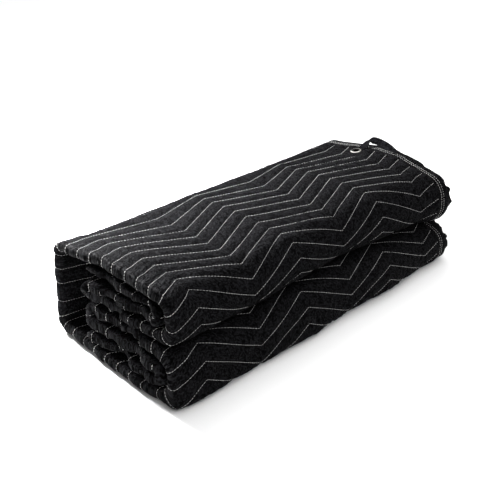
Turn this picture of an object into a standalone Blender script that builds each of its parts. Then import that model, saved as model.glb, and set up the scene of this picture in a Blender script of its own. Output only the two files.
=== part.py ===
"""Folded quilted sound dampening blanket with one eyelet and one tape loop on its hem.

The flat sheet is folded in four along its length, which gives a strip pack of four plies, and the pack is
folded in eight across its width: both sides go in to the middle as folded flaps, and the whole closes
like a book. The section across the bundle is therefore one ribbon, four plies thick, that runs back and
forth through eight layers. The ribbon is lofted along the bundle. X runs from the end of rounded folds to
the end of hems, Y from the front folds to the spine, and Z up. The origin is the bottom centre of the box.
"""

import math
from bisect import bisect_left
from collections import namedtuple
from functools import lru_cache
from itertools import accumulate

import bmesh
import bpy
from mathutils import Vector

# The flat sheet and how often it is folded
SHEET_LENGTH = 2.44
SHEET_WIDTH = 2.03
PLIES_IN_RIBBON = 4
LAYERS = 8
PLY = 0.005

# The bundle
LENGTH = SHEET_LENGTH / PLIES_IN_RIBBON
WRAP_SLACK = 0.0243
SPINE_Y = SHEET_WIDTH / LAYERS + WRAP_SLACK
RIBBON = PLIES_IN_RIBBON * PLY - 0.0008
LAYER_GAP = 0.06
HALF = LAYERS / 4
FOLD_RADIUS = 0.041
SPINE_RADIUS = 0.030
SPINE_INNER_RADIUS = 0.010
SPINE_CORNER_LAYERS = 1.45
SPINE_INNER_CORNER_LAYERS = 0.5
NESTED_CLEARANCE = 0.0012
NOSE_Y = 0.196
NOSE_REACH = 0.018
HEM_END_Y = 0.192

# Quilting: parallel zigzag rows of stitching that run along the bundle
ROW_PITCH = 0.0265
ZIGZAG_SWING = 0.047
ZIGZAG_PEAKS = (0.055, 0.258, 0.452, 0.650)
ZIGZAG_VALLEYS = (-0.045, 0.160, 0.358, 0.552)
SPINE_SWING = 0.25
SPINE_SWING_FADE_IN = (-0.110, -0.020)
SPINE_SWING_FADE_OUT = (0.130, 0.260)
CREASE_SWING_FADE = 0.120
QUILT_RELIEF = 0.0017
RELIEF_FADE = 0.020
FLOOR_CLEAR_OF_RELIEF = (0.020, 0.045)
HEM_BAND = 0.018
STATION_STEP = 0.034
RETURN_ROWS = 4
BOTTOM_EDGE = 0.030
NOSE_ANGLES = (0.30, 0.75, 1.15)
LAST_STATION_THICKNESS = 0.94
HEM_END_THICKNESS = 0.45
HEM_END_REACH = 0.012
END_OFFSET_POWER = 3

# One row for each section along the length. lower and upper are the front of each half in Y, parting is the
# height of the crease between them, sunk is how far it drops at the very front, top is the height of the
# crown, droop is its drop at the front shoulder, back is the height by the spine, lean is how far the upper
# fold tips back, square how boxy the folds are (2 is round), and floor the same by the floor.
Section = namedtuple("Section", "x lower upper parting sunk top droop back lean square floor")
SECTIONS = (
    Section(0.000, -0.011, -0.003, 0.092, 0.000, 0.174, 0.000, 0.160, 0.002, 3.4, 6.0),
    Section(0.030, -0.016, -0.002, 0.091, 0.001, 0.169, 0.001, 0.157, 0.005, 3.0, 5.5),
    Section(0.060, -0.016, 0.002, 0.089, 0.002, 0.163, 0.002, 0.153, 0.008, 2.5, 5.0),
    Section(0.160, -0.013, 0.005, 0.086, 0.003, 0.158, 0.001, 0.152, 0.006, 2.2, 4.5),
    Section(0.258, -0.013, 0.008, 0.086, 0.002, 0.161, 0.000, 0.153, 0.003, 2.1, 4.5),
    Section(0.358, -0.008, 0.014, 0.086, 0.003, 0.163, 0.000, 0.154, 0.002, 2.0, 4.0),
    Section(0.452, -0.010, 0.013, 0.084, 0.006, 0.164, 0.001, 0.155, 0.002, 2.0, 4.0),
    Section(0.552, -0.002, 0.015, 0.081, 0.010, 0.167, 0.005, 0.157, 0.001, 2.0, 3.6),
    Section(0.610, -0.001, 0.004, 0.080, 0.014, 0.172, 0.014, 0.158, 0.000, 2.0, 3.2),
)
ARC_STEPS = 48
SUNK_REACH = (0.015, 0.120)
DROOP_REACH = (0.030, 0.115)
BACK_REACH = (0.130, 0.262)
LEAN_REACH = (0.030, 0.090)
WAVE_HEIGHT = 0.0012
WAVE_ALONG = 15.0
WAVE_ACROSS = 19.0

# One row for each stretch of the ribbon, from the hem inside the upper half to the hem inside the lower
# half. length is its nominal run, steps its points, near and far how far its two ends stand out.
Stretch = namedtuple("Stretch", "name length steps near far")
STRETCHES = (
    Stretch("upper_flap_end", 0.145, 3, 0.002, -0.008),
    Stretch("upper_flap_fold", 0.030, 4, 0.004, 0.006),
    Stretch("upper_flap", 0.145, 2, 0.001, 0.002),
    Stretch("upper_nose", 0.032, 5, -0.003, -0.004),
    Stretch("upper_return", 0.150, 3, 0.001, 0.001),
    Stretch("upper_front", 0.126, 10, 0.004, 0.001),
    Stretch("top", 0.200, 15, 0.003, 0.000),
    Stretch("spine_top", 0.044, 4, -0.002, -0.020),
    Stretch("spine", 0.098, 8, -0.006, -0.030),
    Stretch("spine_bottom", 0.044, 4, -0.009, -0.020),
    Stretch("bottom", 0.200, 6, -0.011, -0.006),
    Stretch("lower_front", 0.126, 10, -0.004, 0.000),
    Stretch("lower_return", 0.150, 3, 0.000, -0.003),
    Stretch("lower_nose", 0.032, 5, -0.003, 0.003),
    Stretch("lower_flap", 0.145, 2, -0.005, -0.006),
    Stretch("lower_flap_fold", 0.030, 4, -0.006, 0.004),
    Stretch("lower_flap_end", 0.145, 3, -0.007, -0.002),
)
QUILTED = ("upper_front", "top", "spine_top", "spine", "spine_bottom", "bottom", "lower_front")

# The free ends of the four plies at the hemmed end: how far each rounded edge and each groove stands out
PLY_EDGES = (0.0, 0.0035, -0.004, 0.0015, -0.005, 0.005, -0.003, 0.0025, 0.0)
PLY_EDGE_CHANGE = 0.7

# The strip of hem that holds the eyelet and the tape loop
CLEARANCE = 0.0003
STRIP_Y = (0.104, 0.214)
STRIP_LENGTH = 0.058
STRIP_STEPS = 10
SLOPE_STEP = 0.004
POCKET_CLEAR = 0.012
EYELET_Y = 0.181
EYELET_FROM_HEM = 0.038
EYELET_HOLE_RADIUS = 0.005
EYELET_BARREL_RADIUS = 0.0058
EYELET_RIM_RADIUS = 0.0100
EYELET_RIM = 0.0013
EYELET_WASHER = 0.0008
EYELET_WASHER_RADIUS = 0.0094
EYELET_SEGMENTS = 32
DIMPLE_DEPTH = 0.0045

# The tape loop: its tape's width and thickness, and the lopsided arch that it makes over the hem's edge
LOOP_TAPE = (0.013, 0.0018)
LOOP_LEFT_Y = 0.184
LOOP_RIGHT_Y = 0.112
LOOP_RISE = 0.016
LOOP_RISING = (0.06, 0.34)
LOOP_FALLING = (0.24, 0.90)
LOOP_FROM_HEM = 0.0075
LOOP_OVERHANG = 0.004
LOOP_STEPS = 22

CLOTH_COLOUR = (0.115, 0.117, 0.125)
TAPE_COLOUR = (0.085, 0.087, 0.092)
NICKEL_COLOUR = (0.80, 0.79, 0.76)


def smooth(value, low, high):
    """Return a smooth step from 0 at low to 1 at high."""
    share = min(max((value - low) / (high - low), 0.0), 1.0)
    return share * share * (3.0 - 2.0 * share)


def section_at(x):
    """Return the section at x, blended between the rows of the table."""
    x = min(max(x, SECTIONS[0].x), SECTIONS[-1].x)
    for first, second in zip(SECTIONS, SECTIONS[1:]):
        if x <= second.x:
            share = smooth(x, first.x, second.x)
            return Section(*(a + (b - a) * share for a, b in zip(first, second)))
    return SECTIONS[-1]


def parting_height(row, y):
    """Height of the crease between the halves, which drops at the front folds."""
    return row.parting - row.sunk * (1.0 - smooth(y, *SUNK_REACH))


def top_height(row, y):
    """Height of the top face, which drops at the shoulder, by the spine and in soft waves."""
    shoulder = row.droop * (1.0 - smooth(y, *DROOP_REACH))
    back = (row.top - row.back) * smooth(y, *BACK_REACH)
    wave = WAVE_HEIGHT * math.sin(WAVE_ALONG * row.x + 1.0) * math.sin(WAVE_ACROSS * y)
    return row.top - shoulder - back + wave


def place(row, y, layer):
    """Turn a height counted in layers into a point of the section, in metres."""
    parting = parting_height(row, y)
    if layer <= 2 * HALF:
        height = parting * layer / (2 * HALF)
    else:
        height = parting + (top_height(row, y) - parting) * (layer - 2 * HALF) / (2 * HALF)
        front = 1.0 - smooth(y - row.upper, *LEAN_REACH)
        y += row.lean * (layer - 3 * HALF) / HALF * front
    return Vector((y, height))


def power_point(angle, square):
    """Return across and up on a squared unit arc, at an angle from 0 to 90 degrees above its middle."""
    return math.cos(angle) ** (2.0 / square), math.sin(angle) ** (2.0 / square)


@lru_cache(maxsize=None)
def power_table(square):
    """Angles along a squared quarter arc, and the share of its length that lies before each."""
    angles = [0.5 * math.pi * step / ARC_STEPS for step in range(ARC_STEPS)] + [0.5 * math.pi - 1e-9]
    points = [power_point(angle, square) for angle in angles]
    steps = [math.dist(first, second) for first, second in zip(points, points[1:])]
    lengths = [0.0, *accumulate(steps)]
    return angles, [length / lengths[-1] for length in lengths]


def power_arc(share, low_square, high_square):
    """Return across and up on a squared half circle at an even share of its run, bottom to top."""
    square = round(high_square if share > 0.5 else low_square, 2)
    angles, shares = power_table(square)
    wanted = min(abs(share - 0.5) * 2.0, 1.0)
    index = min(max(bisect_left(shares, wanted), 1), ARC_STEPS)
    before, after = shares[index - 1], shares[index]
    blend = (wanted - before) / (after - before)
    angle = angles[index - 1] + (angles[index] - angles[index - 1]) * blend
    across, up = power_point(angle, square)
    return across, math.copysign(up, share - 0.5)


def front_rung(row, share, upper, nested):
    """Outer and inner point of a front fold. share runs from its lower to its upper end."""
    front = row.upper if upper else row.lower
    middle = 3 * HALF if upper else HALF
    centre = front + FOLD_RADIUS
    if nested:
        reach = (FOLD_RADIUS - RIBBON - NESTED_CLEARANCE, NESTED_CLEARANCE)
        rise = (HALF / 2 - LAYER_GAP / 2, LAYER_GAP / 2)
        squares = ((2.0, 2.0), (2.0, 2.0))
    else:
        reach = (FOLD_RADIUS, FOLD_RADIUS - RIBBON)
        rise = (HALF - LAYER_GAP / 2 if upper else HALF, HALF / 2 + LAYER_GAP / 2)
        squares = ((row.square if upper else row.floor, row.square), (2.0, 2.0))
    points = []
    for across_radius, up_radius, (low_square, high_square) in zip(reach, rise, squares):
        across, up = power_arc(share, low_square, high_square)
        if not upper and not nested and up > 0 and up_radius == HALF:
            up_radius = HALF - LAYER_GAP / 2
        points.append((centre - across * across_radius, middle + up * up_radius))
    return points


def nose_rung(share, middle):
    """Outer and inner point of a fold on the spine side of the flaps. share runs downward."""
    across, up = power_arc(1.0 - share, 2.0, 2.0)
    outer = (NOSE_Y - NOSE_REACH + across * NOSE_REACH, middle + up * (1.0 - LAYER_GAP / 2))
    inner = (NOSE_Y - NOSE_REACH + across * NESTED_CLEARANCE, middle + up * LAYER_GAP / 2)
    return [outer, inner]


def spine_corner_rung(share, top):
    """Outer and inner point of the spine's corner. share runs from the flat to the wall."""
    angle = 0.5 * math.pi * share
    points = []
    for radius, rise, wall, level in (
        (SPINE_RADIUS, SPINE_CORNER_LAYERS, SPINE_Y, 0.0),
        (SPINE_INNER_RADIUS, SPINE_INNER_CORNER_LAYERS, SPINE_Y - RIBBON, 1.0 - LAYER_GAP / 2),
    ):
        y = wall - radius + radius * math.sin(angle)
        layer = level + rise * (1.0 - math.cos(angle))
        points.append((y, LAYERS - layer if top else layer))
    return points


def flat_rung(y_start, y_end, share, outer_layer, inner_layer):
    """Outer and inner point of a flat layer. Both faces run between the same two values of Y."""
    y = y_start + (y_end - y_start) * share
    return [(y, outer_layer), (y, inner_layer)]


def slanted_rung(start, end, share):
    """Blend two rungs, point by point."""
    return [
        tuple(a + (b - a) * share for a, b in zip(first, second))
        for first, second in zip(start, end)
    ]


def rung(row, name, share):
    """Outer and inner point of the ribbon in Y and layers, at a share of the named stretch."""
    gap = LAYER_GAP / 2
    upper_centre = row.upper + FOLD_RADIUS
    lower_centre = row.lower + FOLD_RADIUS
    nose = NOSE_Y - NOSE_REACH
    if name == "upper_flap_end":
        return flat_rung(HEM_END_Y, upper_centre, share, 6 + gap, 7 - gap)
    if name == "upper_flap_fold":
        return front_rung(row, 1.0 - share, True, True)[::-1]
    if name == "upper_flap":
        return flat_rung(upper_centre, nose, share, 6 - gap, 5 + gap)
    if name == "upper_nose":
        return nose_rung(share, 5)
    if name == "upper_return":
        return flat_rung(nose, upper_centre, share, 4 + gap, 5 - gap)
    if name == "upper_front":
        return front_rung(row, share, True, False)
    if name == "top":
        start = front_rung(row, 1.0, True, False)
        return slanted_rung(start, spine_corner_rung(0.0, True), share)
    if name == "spine_top":
        return spine_corner_rung(share, True)
    if name == "spine":
        return slanted_rung(spine_corner_rung(1.0, True), spine_corner_rung(1.0, False), share)
    if name == "spine_bottom":
        return spine_corner_rung(1.0 - share, False)
    if name == "bottom":
        end = front_rung(row, 0.0, False, False)
        return slanted_rung(spine_corner_rung(0.0, False), end, share)
    if name == "lower_front":
        return front_rung(row, share, False, False)
    if name == "lower_return":
        return flat_rung(lower_centre, nose, share, 4 - gap, 3 + gap)
    if name == "lower_nose":
        return nose_rung(share, 3)
    if name == "lower_flap":
        return flat_rung(nose, lower_centre, share, 2 + gap, 3 - gap)
    if name == "lower_flap_fold":
        return front_rung(row, 1.0 - share, False, True)[::-1]
    return flat_rung(lower_centre, HEM_END_Y, share, 2 - gap, 1 + gap)


def zigzag(x):
    """Sideways place of a stitch row at x, as a triangle wave through the named peaks and valleys."""
    turns = sorted([(peak, 0.5) for peak in ZIGZAG_PEAKS] + [(valley, -0.5) for valley in ZIGZAG_VALLEYS])
    for (first, low), (second, high) in zip(turns, turns[1:]):
        if x <= second:
            share = (x - first) / (second - first)
            return ZIGZAG_SWING * (low + (high - low) * share)
    return ZIGZAG_SWING * turns[-1][1]


def stretch_starts():
    """Return where each stretch starts along the ribbon, and the ribbon's whole nominal length."""
    starts = []
    total = 0.0
    for stretch in STRETCHES:
        starts.append(total)
        total += stretch.length
    return starts, total


STARTS, RIBBON_LENGTH = stretch_starts()


def start_of(name):
    """Return where the named stretch starts along the ribbon."""
    return STARTS[[stretch.name for stretch in STRETCHES].index(name)]


FIRST_QUILTED = start_of("upper_front")
LAST_QUILTED = start_of("lower_return")


def stretch_at(along):
    """Return the stretch that holds a place along the ribbon, and the share of it."""
    along = min(max(along, 0.0), RIBBON_LENGTH - 1e-9)
    for stretch, start in zip(STRETCHES, STARTS):
        if along < start + stretch.length:
            return stretch, (along - start) / stretch.length
    return STRETCHES[-1], 1.0


def ribbon_places():
    """Places along the ribbon that carry points: half stitch rows where quilted, else even steps."""
    step = ROW_PITCH / 2
    first = FIRST_QUILTED - RETURN_ROWS * step
    count = round((LAST_QUILTED - FIRST_QUILTED) / step) + 2 * RETURN_ROWS
    last = first + count * step
    bottom, bottom_end = start_of("bottom"), start_of("lower_front")
    places = [RIBBON_LENGTH]
    for index in range(count + 1):
        at = first + step * index
        if bottom + BOTTOM_EDGE < at < bottom_end - BOTTOM_EDGE and index % 3:
            continue
        places.append(at)
    for stretch, start in zip(STRETCHES, STARTS):
        if stretch.name not in QUILTED:
            even = [start + stretch.length * share / stretch.steps for share in range(stretch.steps)]
            places += [at for at in even if not first - step < at < last + step]
    return sorted(places)


def shift_weight(at):
    """How much a place along the ribbon follows the zigzag: all of it where the rows show best."""
    inside = max(FIRST_QUILTED - at, at - LAST_QUILTED, 0.0)
    past = at - start_of("spine")
    by_spine = smooth(past, *SPINE_SWING_FADE_IN) - smooth(past, *SPINE_SWING_FADE_OUT)
    return (1.0 - smooth(inside, 0.0, CREASE_SWING_FADE)) * (1.0 - (1.0 - SPINE_SWING) * by_spine)


def end_offset(at, column):
    """How far the ribbon's end stands out at a place, blended between the middles of the stretches."""
    middles = [start + stretch.length / 2 for stretch, start in zip(STRETCHES, STARTS)]
    values = [getattr(stretch, column) for stretch in STRETCHES]
    if at <= middles[0]:
        return values[0]
    for index, (first, second) in enumerate(zip(middles, middles[1:])):
        if at <= second:
            return values[index] + (values[index + 1] - values[index]) * smooth(at, first, second)
    return values[-1]


def relief(at, x, name):
    """Height of the quilting: low on a stitch row, high between two rows, none on floor or hem."""
    if name not in QUILTED or name in ("bottom", "spine_bottom"):
        return 0.0
    row_share = (at - FIRST_QUILTED) / ROW_PITCH
    hem = 1.0 - smooth(x, LENGTH - 2 * HEM_BAND, LENGTH - HEM_BAND)
    fade = smooth(at - FIRST_QUILTED, 0.0, RELIEF_FADE) * smooth(LAST_QUILTED - at, 0.0, RELIEF_FADE)
    if name == "lower_front":
        fade *= smooth(at - start_of("lower_front"), *FLOOR_CLEAR_OF_RELIEF)
    return -QUILT_RELIEF * math.cos(2 * math.pi * row_share) * hem * fade


def stations():
    """Places along the bundle that carry a section, with the share of the thickness at each."""
    nose = RIBBON / 2
    rounded = [(nose * (1.0 - math.cos(angle)), math.sin(angle)) for angle in NOSE_ANGLES]
    turns = [turn for turn in (*ZIGZAG_PEAKS, *ZIGZAG_VALLEYS) if 0 < turn < LENGTH]
    marks = sorted([1.4 * nose, *turns, LENGTH - HEM_BAND])
    between = []
    for first, second in zip(marks, marks[1:]):
        count = round((second - first) / STATION_STEP)
        between += [first + (second - first) * step / count for step in range(1, count)]
    plain = [(x, 1.0) for x in sorted(marks + between + [LENGTH - PLY])]
    return rounded + plain + [(LENGTH, LAST_STATION_THICKNESS)]


def ribbon_pair(x, thickness, at):
    """Outer and inner point of the ribbon at station x, as 3-D points."""
    shifted = at + zigzag(x) * shift_weight(at)
    if at in (0.0, RIBBON_LENGTH):
        shifted = at
    stretch, share = stretch_at(shifted)
    row = section_at(x)
    outer, inner = (place(row, *point) for point in rung(row, stretch.name, share))
    middle = (outer + inner) / 2
    hem_end = min(at, RIBBON_LENGTH - at)
    thickness *= HEM_END_THICKNESS + (1.0 - HEM_END_THICKNESS) * smooth(hem_end, 0.0, HEM_END_REACH)
    normal = (outer - inner).normalized()
    raised = relief(at, x, stretch.name) * thickness
    outer = middle + (outer - middle) * thickness + normal * raised
    outer.y = max(outer.y, 0.0)
    inner = middle + (inner - middle) * thickness
    if stretch.name == "spine":
        inner -= normal * raised
    near = end_offset(shifted, "near") * (1.0 - x / LENGTH) ** END_OFFSET_POWER
    far = end_offset(shifted, "far") * (x / LENGTH) ** END_OFFSET_POWER
    return Vector((x + near + far, *outer)), Vector((x + near + far, *inner))


def build_ribbon():
    """Loft the ribbon along the bundle and close its two ends."""
    mesh = bmesh.new()
    places = ribbon_places()
    rows = []
    for x, thickness in stations():
        pairs = [ribbon_pair(x, thickness, at) for at in places]
        outer = [mesh.verts.new(pair[0]) for pair in pairs]
        inner = [mesh.verts.new(pair[1]) for pair in pairs]
        rows.append((outer, inner))
    last = len(places) - 1
    for (outer, inner), (outer_next, inner_next) in zip(rows, rows[1:]):
        for i in range(last):
            mesh.faces.new((outer[i], outer[i + 1], outer_next[i + 1], outer_next[i]))
            mesh.faces.new((inner[i + 1], inner[i], inner_next[i], inner_next[i + 1]))
        for i, flip in ((0, False), (last, True)):
            corners = (inner[i], outer[i], outer_next[i], inner_next[i])
            mesh.faces.new(corners[::-1] if flip else corners)
    outer, inner = rows[0]
    for i in range(last):
        mesh.faces.new((outer[i + 1], outer[i], inner[i], inner[i + 1]))
    close_hemmed_end(mesh, *rows[-1])
    bmesh.ops.recalc_face_normals(mesh, faces=mesh.faces)
    return mesh


def close_hemmed_end(mesh, outer, inner):
    """Close the far end with the rounded edges of the four plies and the grooves between them."""
    lines = [outer]
    for step, stand_out in enumerate(PLY_EDGES[1:-1], 1):
        share = step / (len(PLY_EDGES) - 1)
        line = []
        for i, (a, b) in enumerate(zip(outer, inner)):
            point = a.co.lerp(b.co, share)
            point.x += stand_out * (1.0 if i % 2 else PLY_EDGE_CHANGE)
            line.append(mesh.verts.new(point))
        lines.append(line)
    lines.append(inner)
    for first, second in zip(lines, lines[1:]):
        for i in range(len(outer) - 1):
            mesh.faces.new((first[i], first[i + 1], second[i + 1], second[i]))
    for i in (0, len(outer) - 1):
        mesh.faces.new([line[i] for line in lines])


def surface_normal(x, y):
    """Direction that leaves the top face at right angles, as seen across the bundle."""
    row = section_at(x)
    rise = top_height(row, y + SLOPE_STEP) - top_height(row, y - SLOPE_STEP)
    slope = rise / (2 * SLOPE_STEP)
    return Vector((0.0, -slope, 1.0)).normalized()


def surface_point(x, y, below):
    """A point below the top face, on the line that leaves it at right angles."""
    return Vector((x, y, top_height(section_at(x), y))) - surface_normal(x, y) * below


def hem_edge(y):
    """Place of the hem's edge along the bundle, at y on the top face."""
    corner = SPINE_Y - SPINE_RADIUS
    share = (y - (section_at(LENGTH).upper + FOLD_RADIUS)) / (corner - FOLD_RADIUS)
    top, top_end = start_of("top"), start_of("spine_top")
    return LENGTH + end_offset(top + (top_end - top) * share, "far")


def strip_top(from_hem, y):
    """A point on the strip's straight-ruled top face, and the direction that leaves it at right angles."""
    def ruled(back, at):
        edge = hem_edge(at)
        near = surface_point(edge - STRIP_LENGTH, at, 0.0)
        return surface_point(edge, at, 0.0).lerp(near, back / STRIP_LENGTH)

    across = ruled(from_hem, y + SLOPE_STEP) - ruled(from_hem, y - SLOPE_STEP)
    along = ruled(from_hem - SLOPE_STEP, y) - ruled(from_hem + SLOPE_STEP, y)
    return ruled(from_hem, y), along.cross(across).normalized()


def strip_mesh(grow, thickness, past):
    """A curved slab in the top face by the hem. grow widens it, past takes it beyond the hem's edge."""
    mesh = bmesh.new()
    y_low, y_high = STRIP_Y[0] - grow, STRIP_Y[1] + grow
    lines = []
    for below in (-past, thickness):
        for x_share in (0.0, 1.0):
            line = []
            for step in range(STRIP_STEPS + 1):
                y = y_low + (y_high - y_low) * step / STRIP_STEPS
                edge = hem_edge(y)
                x = edge - STRIP_LENGTH - grow if x_share == 0.0 else edge + past
                line.append(mesh.verts.new(surface_point(x, y, below)))
            lines.append(line)
    near_top, far_top, near_low, far_low = lines
    for i in range(STRIP_STEPS):
        mesh.faces.new((near_top[i], far_top[i], far_top[i + 1], near_top[i + 1]))
        mesh.faces.new((near_low[i], near_low[i + 1], far_low[i + 1], far_low[i]))
        mesh.faces.new((near_top[i], near_top[i + 1], near_low[i + 1], near_low[i]))
        mesh.faces.new((far_top[i + 1], far_top[i], far_low[i], far_low[i + 1]))
    for i in (0, STRIP_STEPS):
        mesh.faces.new((near_top[i], near_low[i], far_low[i], far_top[i]))
    bmesh.ops.recalc_face_normals(mesh, faces=mesh.faces)
    return mesh


def new_object(name, mesh, collection, colour=None, roughness=0.9, metallic=0.0):
    """Make an object from a bmesh, with its own material."""
    data = bpy.data.meshes.new(name)
    mesh.to_mesh(data)
    mesh.free()
    made = bpy.data.objects.new(name, data)
    collection.objects.link(made)
    if colour:
        material = bpy.data.materials.new(name)
        material.use_nodes = True
        shader = material.node_tree.nodes["Principled BSDF"]
        shader.inputs["Base Color"].default_value = (*(part**2.2 for part in colour), 1.0)
        shader.inputs["Roughness"].default_value = roughness
        shader.inputs["Metallic"].default_value = metallic
        data.materials.append(material)
        data.shade_smooth()
        data.set_sharp_from_angle(angle=math.radians(50))
    return made


def cylinder(radius, low, high):
    """A closed cylinder on the Z axis."""
    mesh = bmesh.new()
    bmesh.ops.create_cone(
        mesh, cap_ends=True, segments=EYELET_SEGMENTS, radius1=radius, radius2=radius, depth=high - low
    )
    bmesh.ops.translate(mesh, verts=mesh.verts, vec=(0.0, 0.0, (low + high) / 2))
    return mesh


def seat_on(thing, seat, normal):
    """Place an object on a seat, with its Z axis along the normal."""
    thing.location = seat
    thing.rotation_euler = normal.to_track_quat("Z", "Y").to_euler()


def cut(target, cutter):
    """Take the cutter out of the target, and keep the result as the target's own mesh."""
    cutter.hide_render = True
    cutter.display_type = "WIRE"
    difference = target.modifiers.new("cut", "BOOLEAN")
    difference.operation = "DIFFERENCE"
    difference.object = cutter


def eyelet_profile(strip_thickness):
    """Half section of the eyelet: rolled rim above the hem, barrel through it, washer below it."""
    hole, barrel = EYELET_HOLE_RADIUS, EYELET_BARREL_RADIUS
    rim, washer = EYELET_RIM_RADIUS, EYELET_WASHER_RADIUS
    base = 2 * CLEARANCE
    under = -strip_thickness - 2 * CLEARANCE
    top = base + EYELET_RIM
    low = under - EYELET_WASHER
    middle = (barrel + rim) / 2
    roll = EYELET_RIM / 2
    return [
        (rim, base),
        (rim - roll, base + roll),
        (middle + roll, top),
        (middle - roll, top),
        (hole + roll, base + roll),
        (hole, base),
        (hole, low),
        (washer, low),
        (washer, under),
        (barrel, under),
        (barrel, base),
    ]


def build_eyelet(collection, strip_thickness):
    """Turn the eyelet's half section about its upright axis."""
    mesh = bmesh.new()
    profile = eyelet_profile(strip_thickness)
    verts = [mesh.verts.new((radius, 0.0, height)) for radius, height in profile]
    for first, second in zip(verts, verts[1:] + verts[:1]):
        mesh.edges.new((first, second))
    bmesh.ops.spin(
        mesh,
        geom=mesh.verts[:] + mesh.edges[:],
        cent=(0, 0, 0),
        axis=(0, 0, 1),
        angle=2 * math.pi,
        steps=EYELET_SEGMENTS,
        use_merge=True,
    )
    bmesh.ops.remove_doubles(mesh, verts=mesh.verts, dist=1e-6)
    bmesh.ops.recalc_face_normals(mesh, faces=mesh.faces)
    return new_object("eyelet", mesh, collection, NICKEL_COLOUR, 0.28, 1.0)


def loop_route():
    """Middle line of the tape loop: a foot, a lopsided arch past the hem's edge, and a foot."""
    points = []
    for step in range(LOOP_STEPS + 1):
        share = step / LOOP_STEPS
        y = LOOP_LEFT_Y + (LOOP_RIGHT_Y - LOOP_LEFT_Y) * share
        rise = LOOP_RISE * smooth(share, *LOOP_RISING) * (1.0 - smooth(share, *LOOP_FALLING))
        from_hem = LOOP_FROM_HEM - LOOP_OVERHANG * math.sin(math.pi * share)
        base, normal = strip_top(from_hem, y)
        points.append(base + normal * (rise + LOOP_TAPE[1] / 2 + 3 * CLEARANCE))
    return points


def build_loop(collection):
    """Sweep the tape's flat section along the loop's route, with its width along the bundle."""
    mesh = bmesh.new()
    route = loop_route()
    width, thickness = LOOP_TAPE
    rings = []
    for i, point in enumerate(route):
        ahead = route[min(i + 1, len(route) - 1)] - route[max(i - 1, 0)]
        along = Vector((0.0, ahead.y, ahead.z)).normalized()
        normal = Vector((0.0, -along.z, along.y))
        if normal.z < 0:
            normal.negate()
        ring = []
        for side, level in ((-1, -1), (1, -1), (1, 1), (-1, 1)):
            offset = Vector((side * width / 2, 0.0, 0.0)) + normal * (level * thickness / 2)
            ring.append(mesh.verts.new(point + offset))
        rings.append(ring)
    for first, second in zip(rings, rings[1:]):
        for i in range(4):
            j = (i + 1) % 4
            mesh.faces.new((first[i], first[j], second[j], second[i]))
    mesh.faces.new(rings[0])
    mesh.faces.new(rings[-1])
    bmesh.ops.recalc_face_normals(mesh, faces=mesh.faces)
    return new_object("tape_loop", mesh, collection, TAPE_COLOUR, 0.85)


def clear_scene():
    """Start from an empty scene."""
    for existing in list(bpy.data.objects):
        bpy.data.objects.remove(existing, do_unlink=True)


def main():
    """Build the blanket, its eyelet strip, the eyelet and the tape loop."""
    clear_scene()
    parts = bpy.data.collections.new("sound_dampening_blanket")
    cutters = bpy.data.collections.new("cutters")
    for collection in (parts, cutters):
        bpy.context.scene.collection.children.link(collection)

    blanket = new_object("blanket", build_ribbon(), parts, CLOTH_COLOUR, 0.92)
    strip = new_object("eyelet_strip", strip_mesh(0.0, PLY, 0.0), parts, CLOTH_COLOUR, 0.92)
    pocket = new_object("strip_pocket", strip_mesh(CLEARANCE, PLY + CLEARANCE, POCKET_CLEAR), cutters)
    cut(blanket, pocket)

    seat, normal = strip_top(EYELET_FROM_HEM, EYELET_Y)
    dimple = new_object(
        "washer_dimple", cylinder(EYELET_WASHER_RADIUS + 2 * CLEARANCE, -PLY - DIMPLE_DEPTH, 0.0), cutters
    )
    hole = new_object("eyelet_hole", cylinder(EYELET_BARREL_RADIUS + CLEARANCE, -2 * PLY, PLY), cutters)
    for thing in (dimple, hole, build_eyelet(parts, PLY)):
        seat_on(thing, seat, normal)
    cut(blanket, dimple)
    cut(strip, hole)
    build_loop(parts)
    centre_on_floor(parts, cutters)


def centre_on_floor(parts, cutters):
    """Move everything so that the origin is the bottom centre of the bundle's box."""
    bpy.context.view_layer.update()
    blanket = parts.objects["blanket"]
    corners = [vert.co for vert in blanket.data.vertices]
    low = [min(corner[axis] for corner in corners) for axis in range(3)]
    high = [max(corner[axis] for corner in corners) for axis in range(3)]
    shift = Vector((-(low[0] + high[0]) / 2, -(low[1] + high[1]) / 2, -low[2]))
    for collection in (parts, cutters):
        for thing in collection.objects:
            thing.location = thing.location + shift


main()
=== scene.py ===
"""Looks of a folded quilted sound dampening blanket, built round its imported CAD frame.

One sheet of padded cloth is folded in four along its length and in eight across. Each lengthwise fold gives
a ribbon of four plies, and the ribbon runs back and forth through eight layers. Here the sheet is one closed
skin on the CAD ribbon's folds, with its quilting, stitches, hems, eyelet and tape loop. Lengths are metres.
"""

import logging
import math
from dataclasses import dataclass, field
from enum import IntEnum

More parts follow.
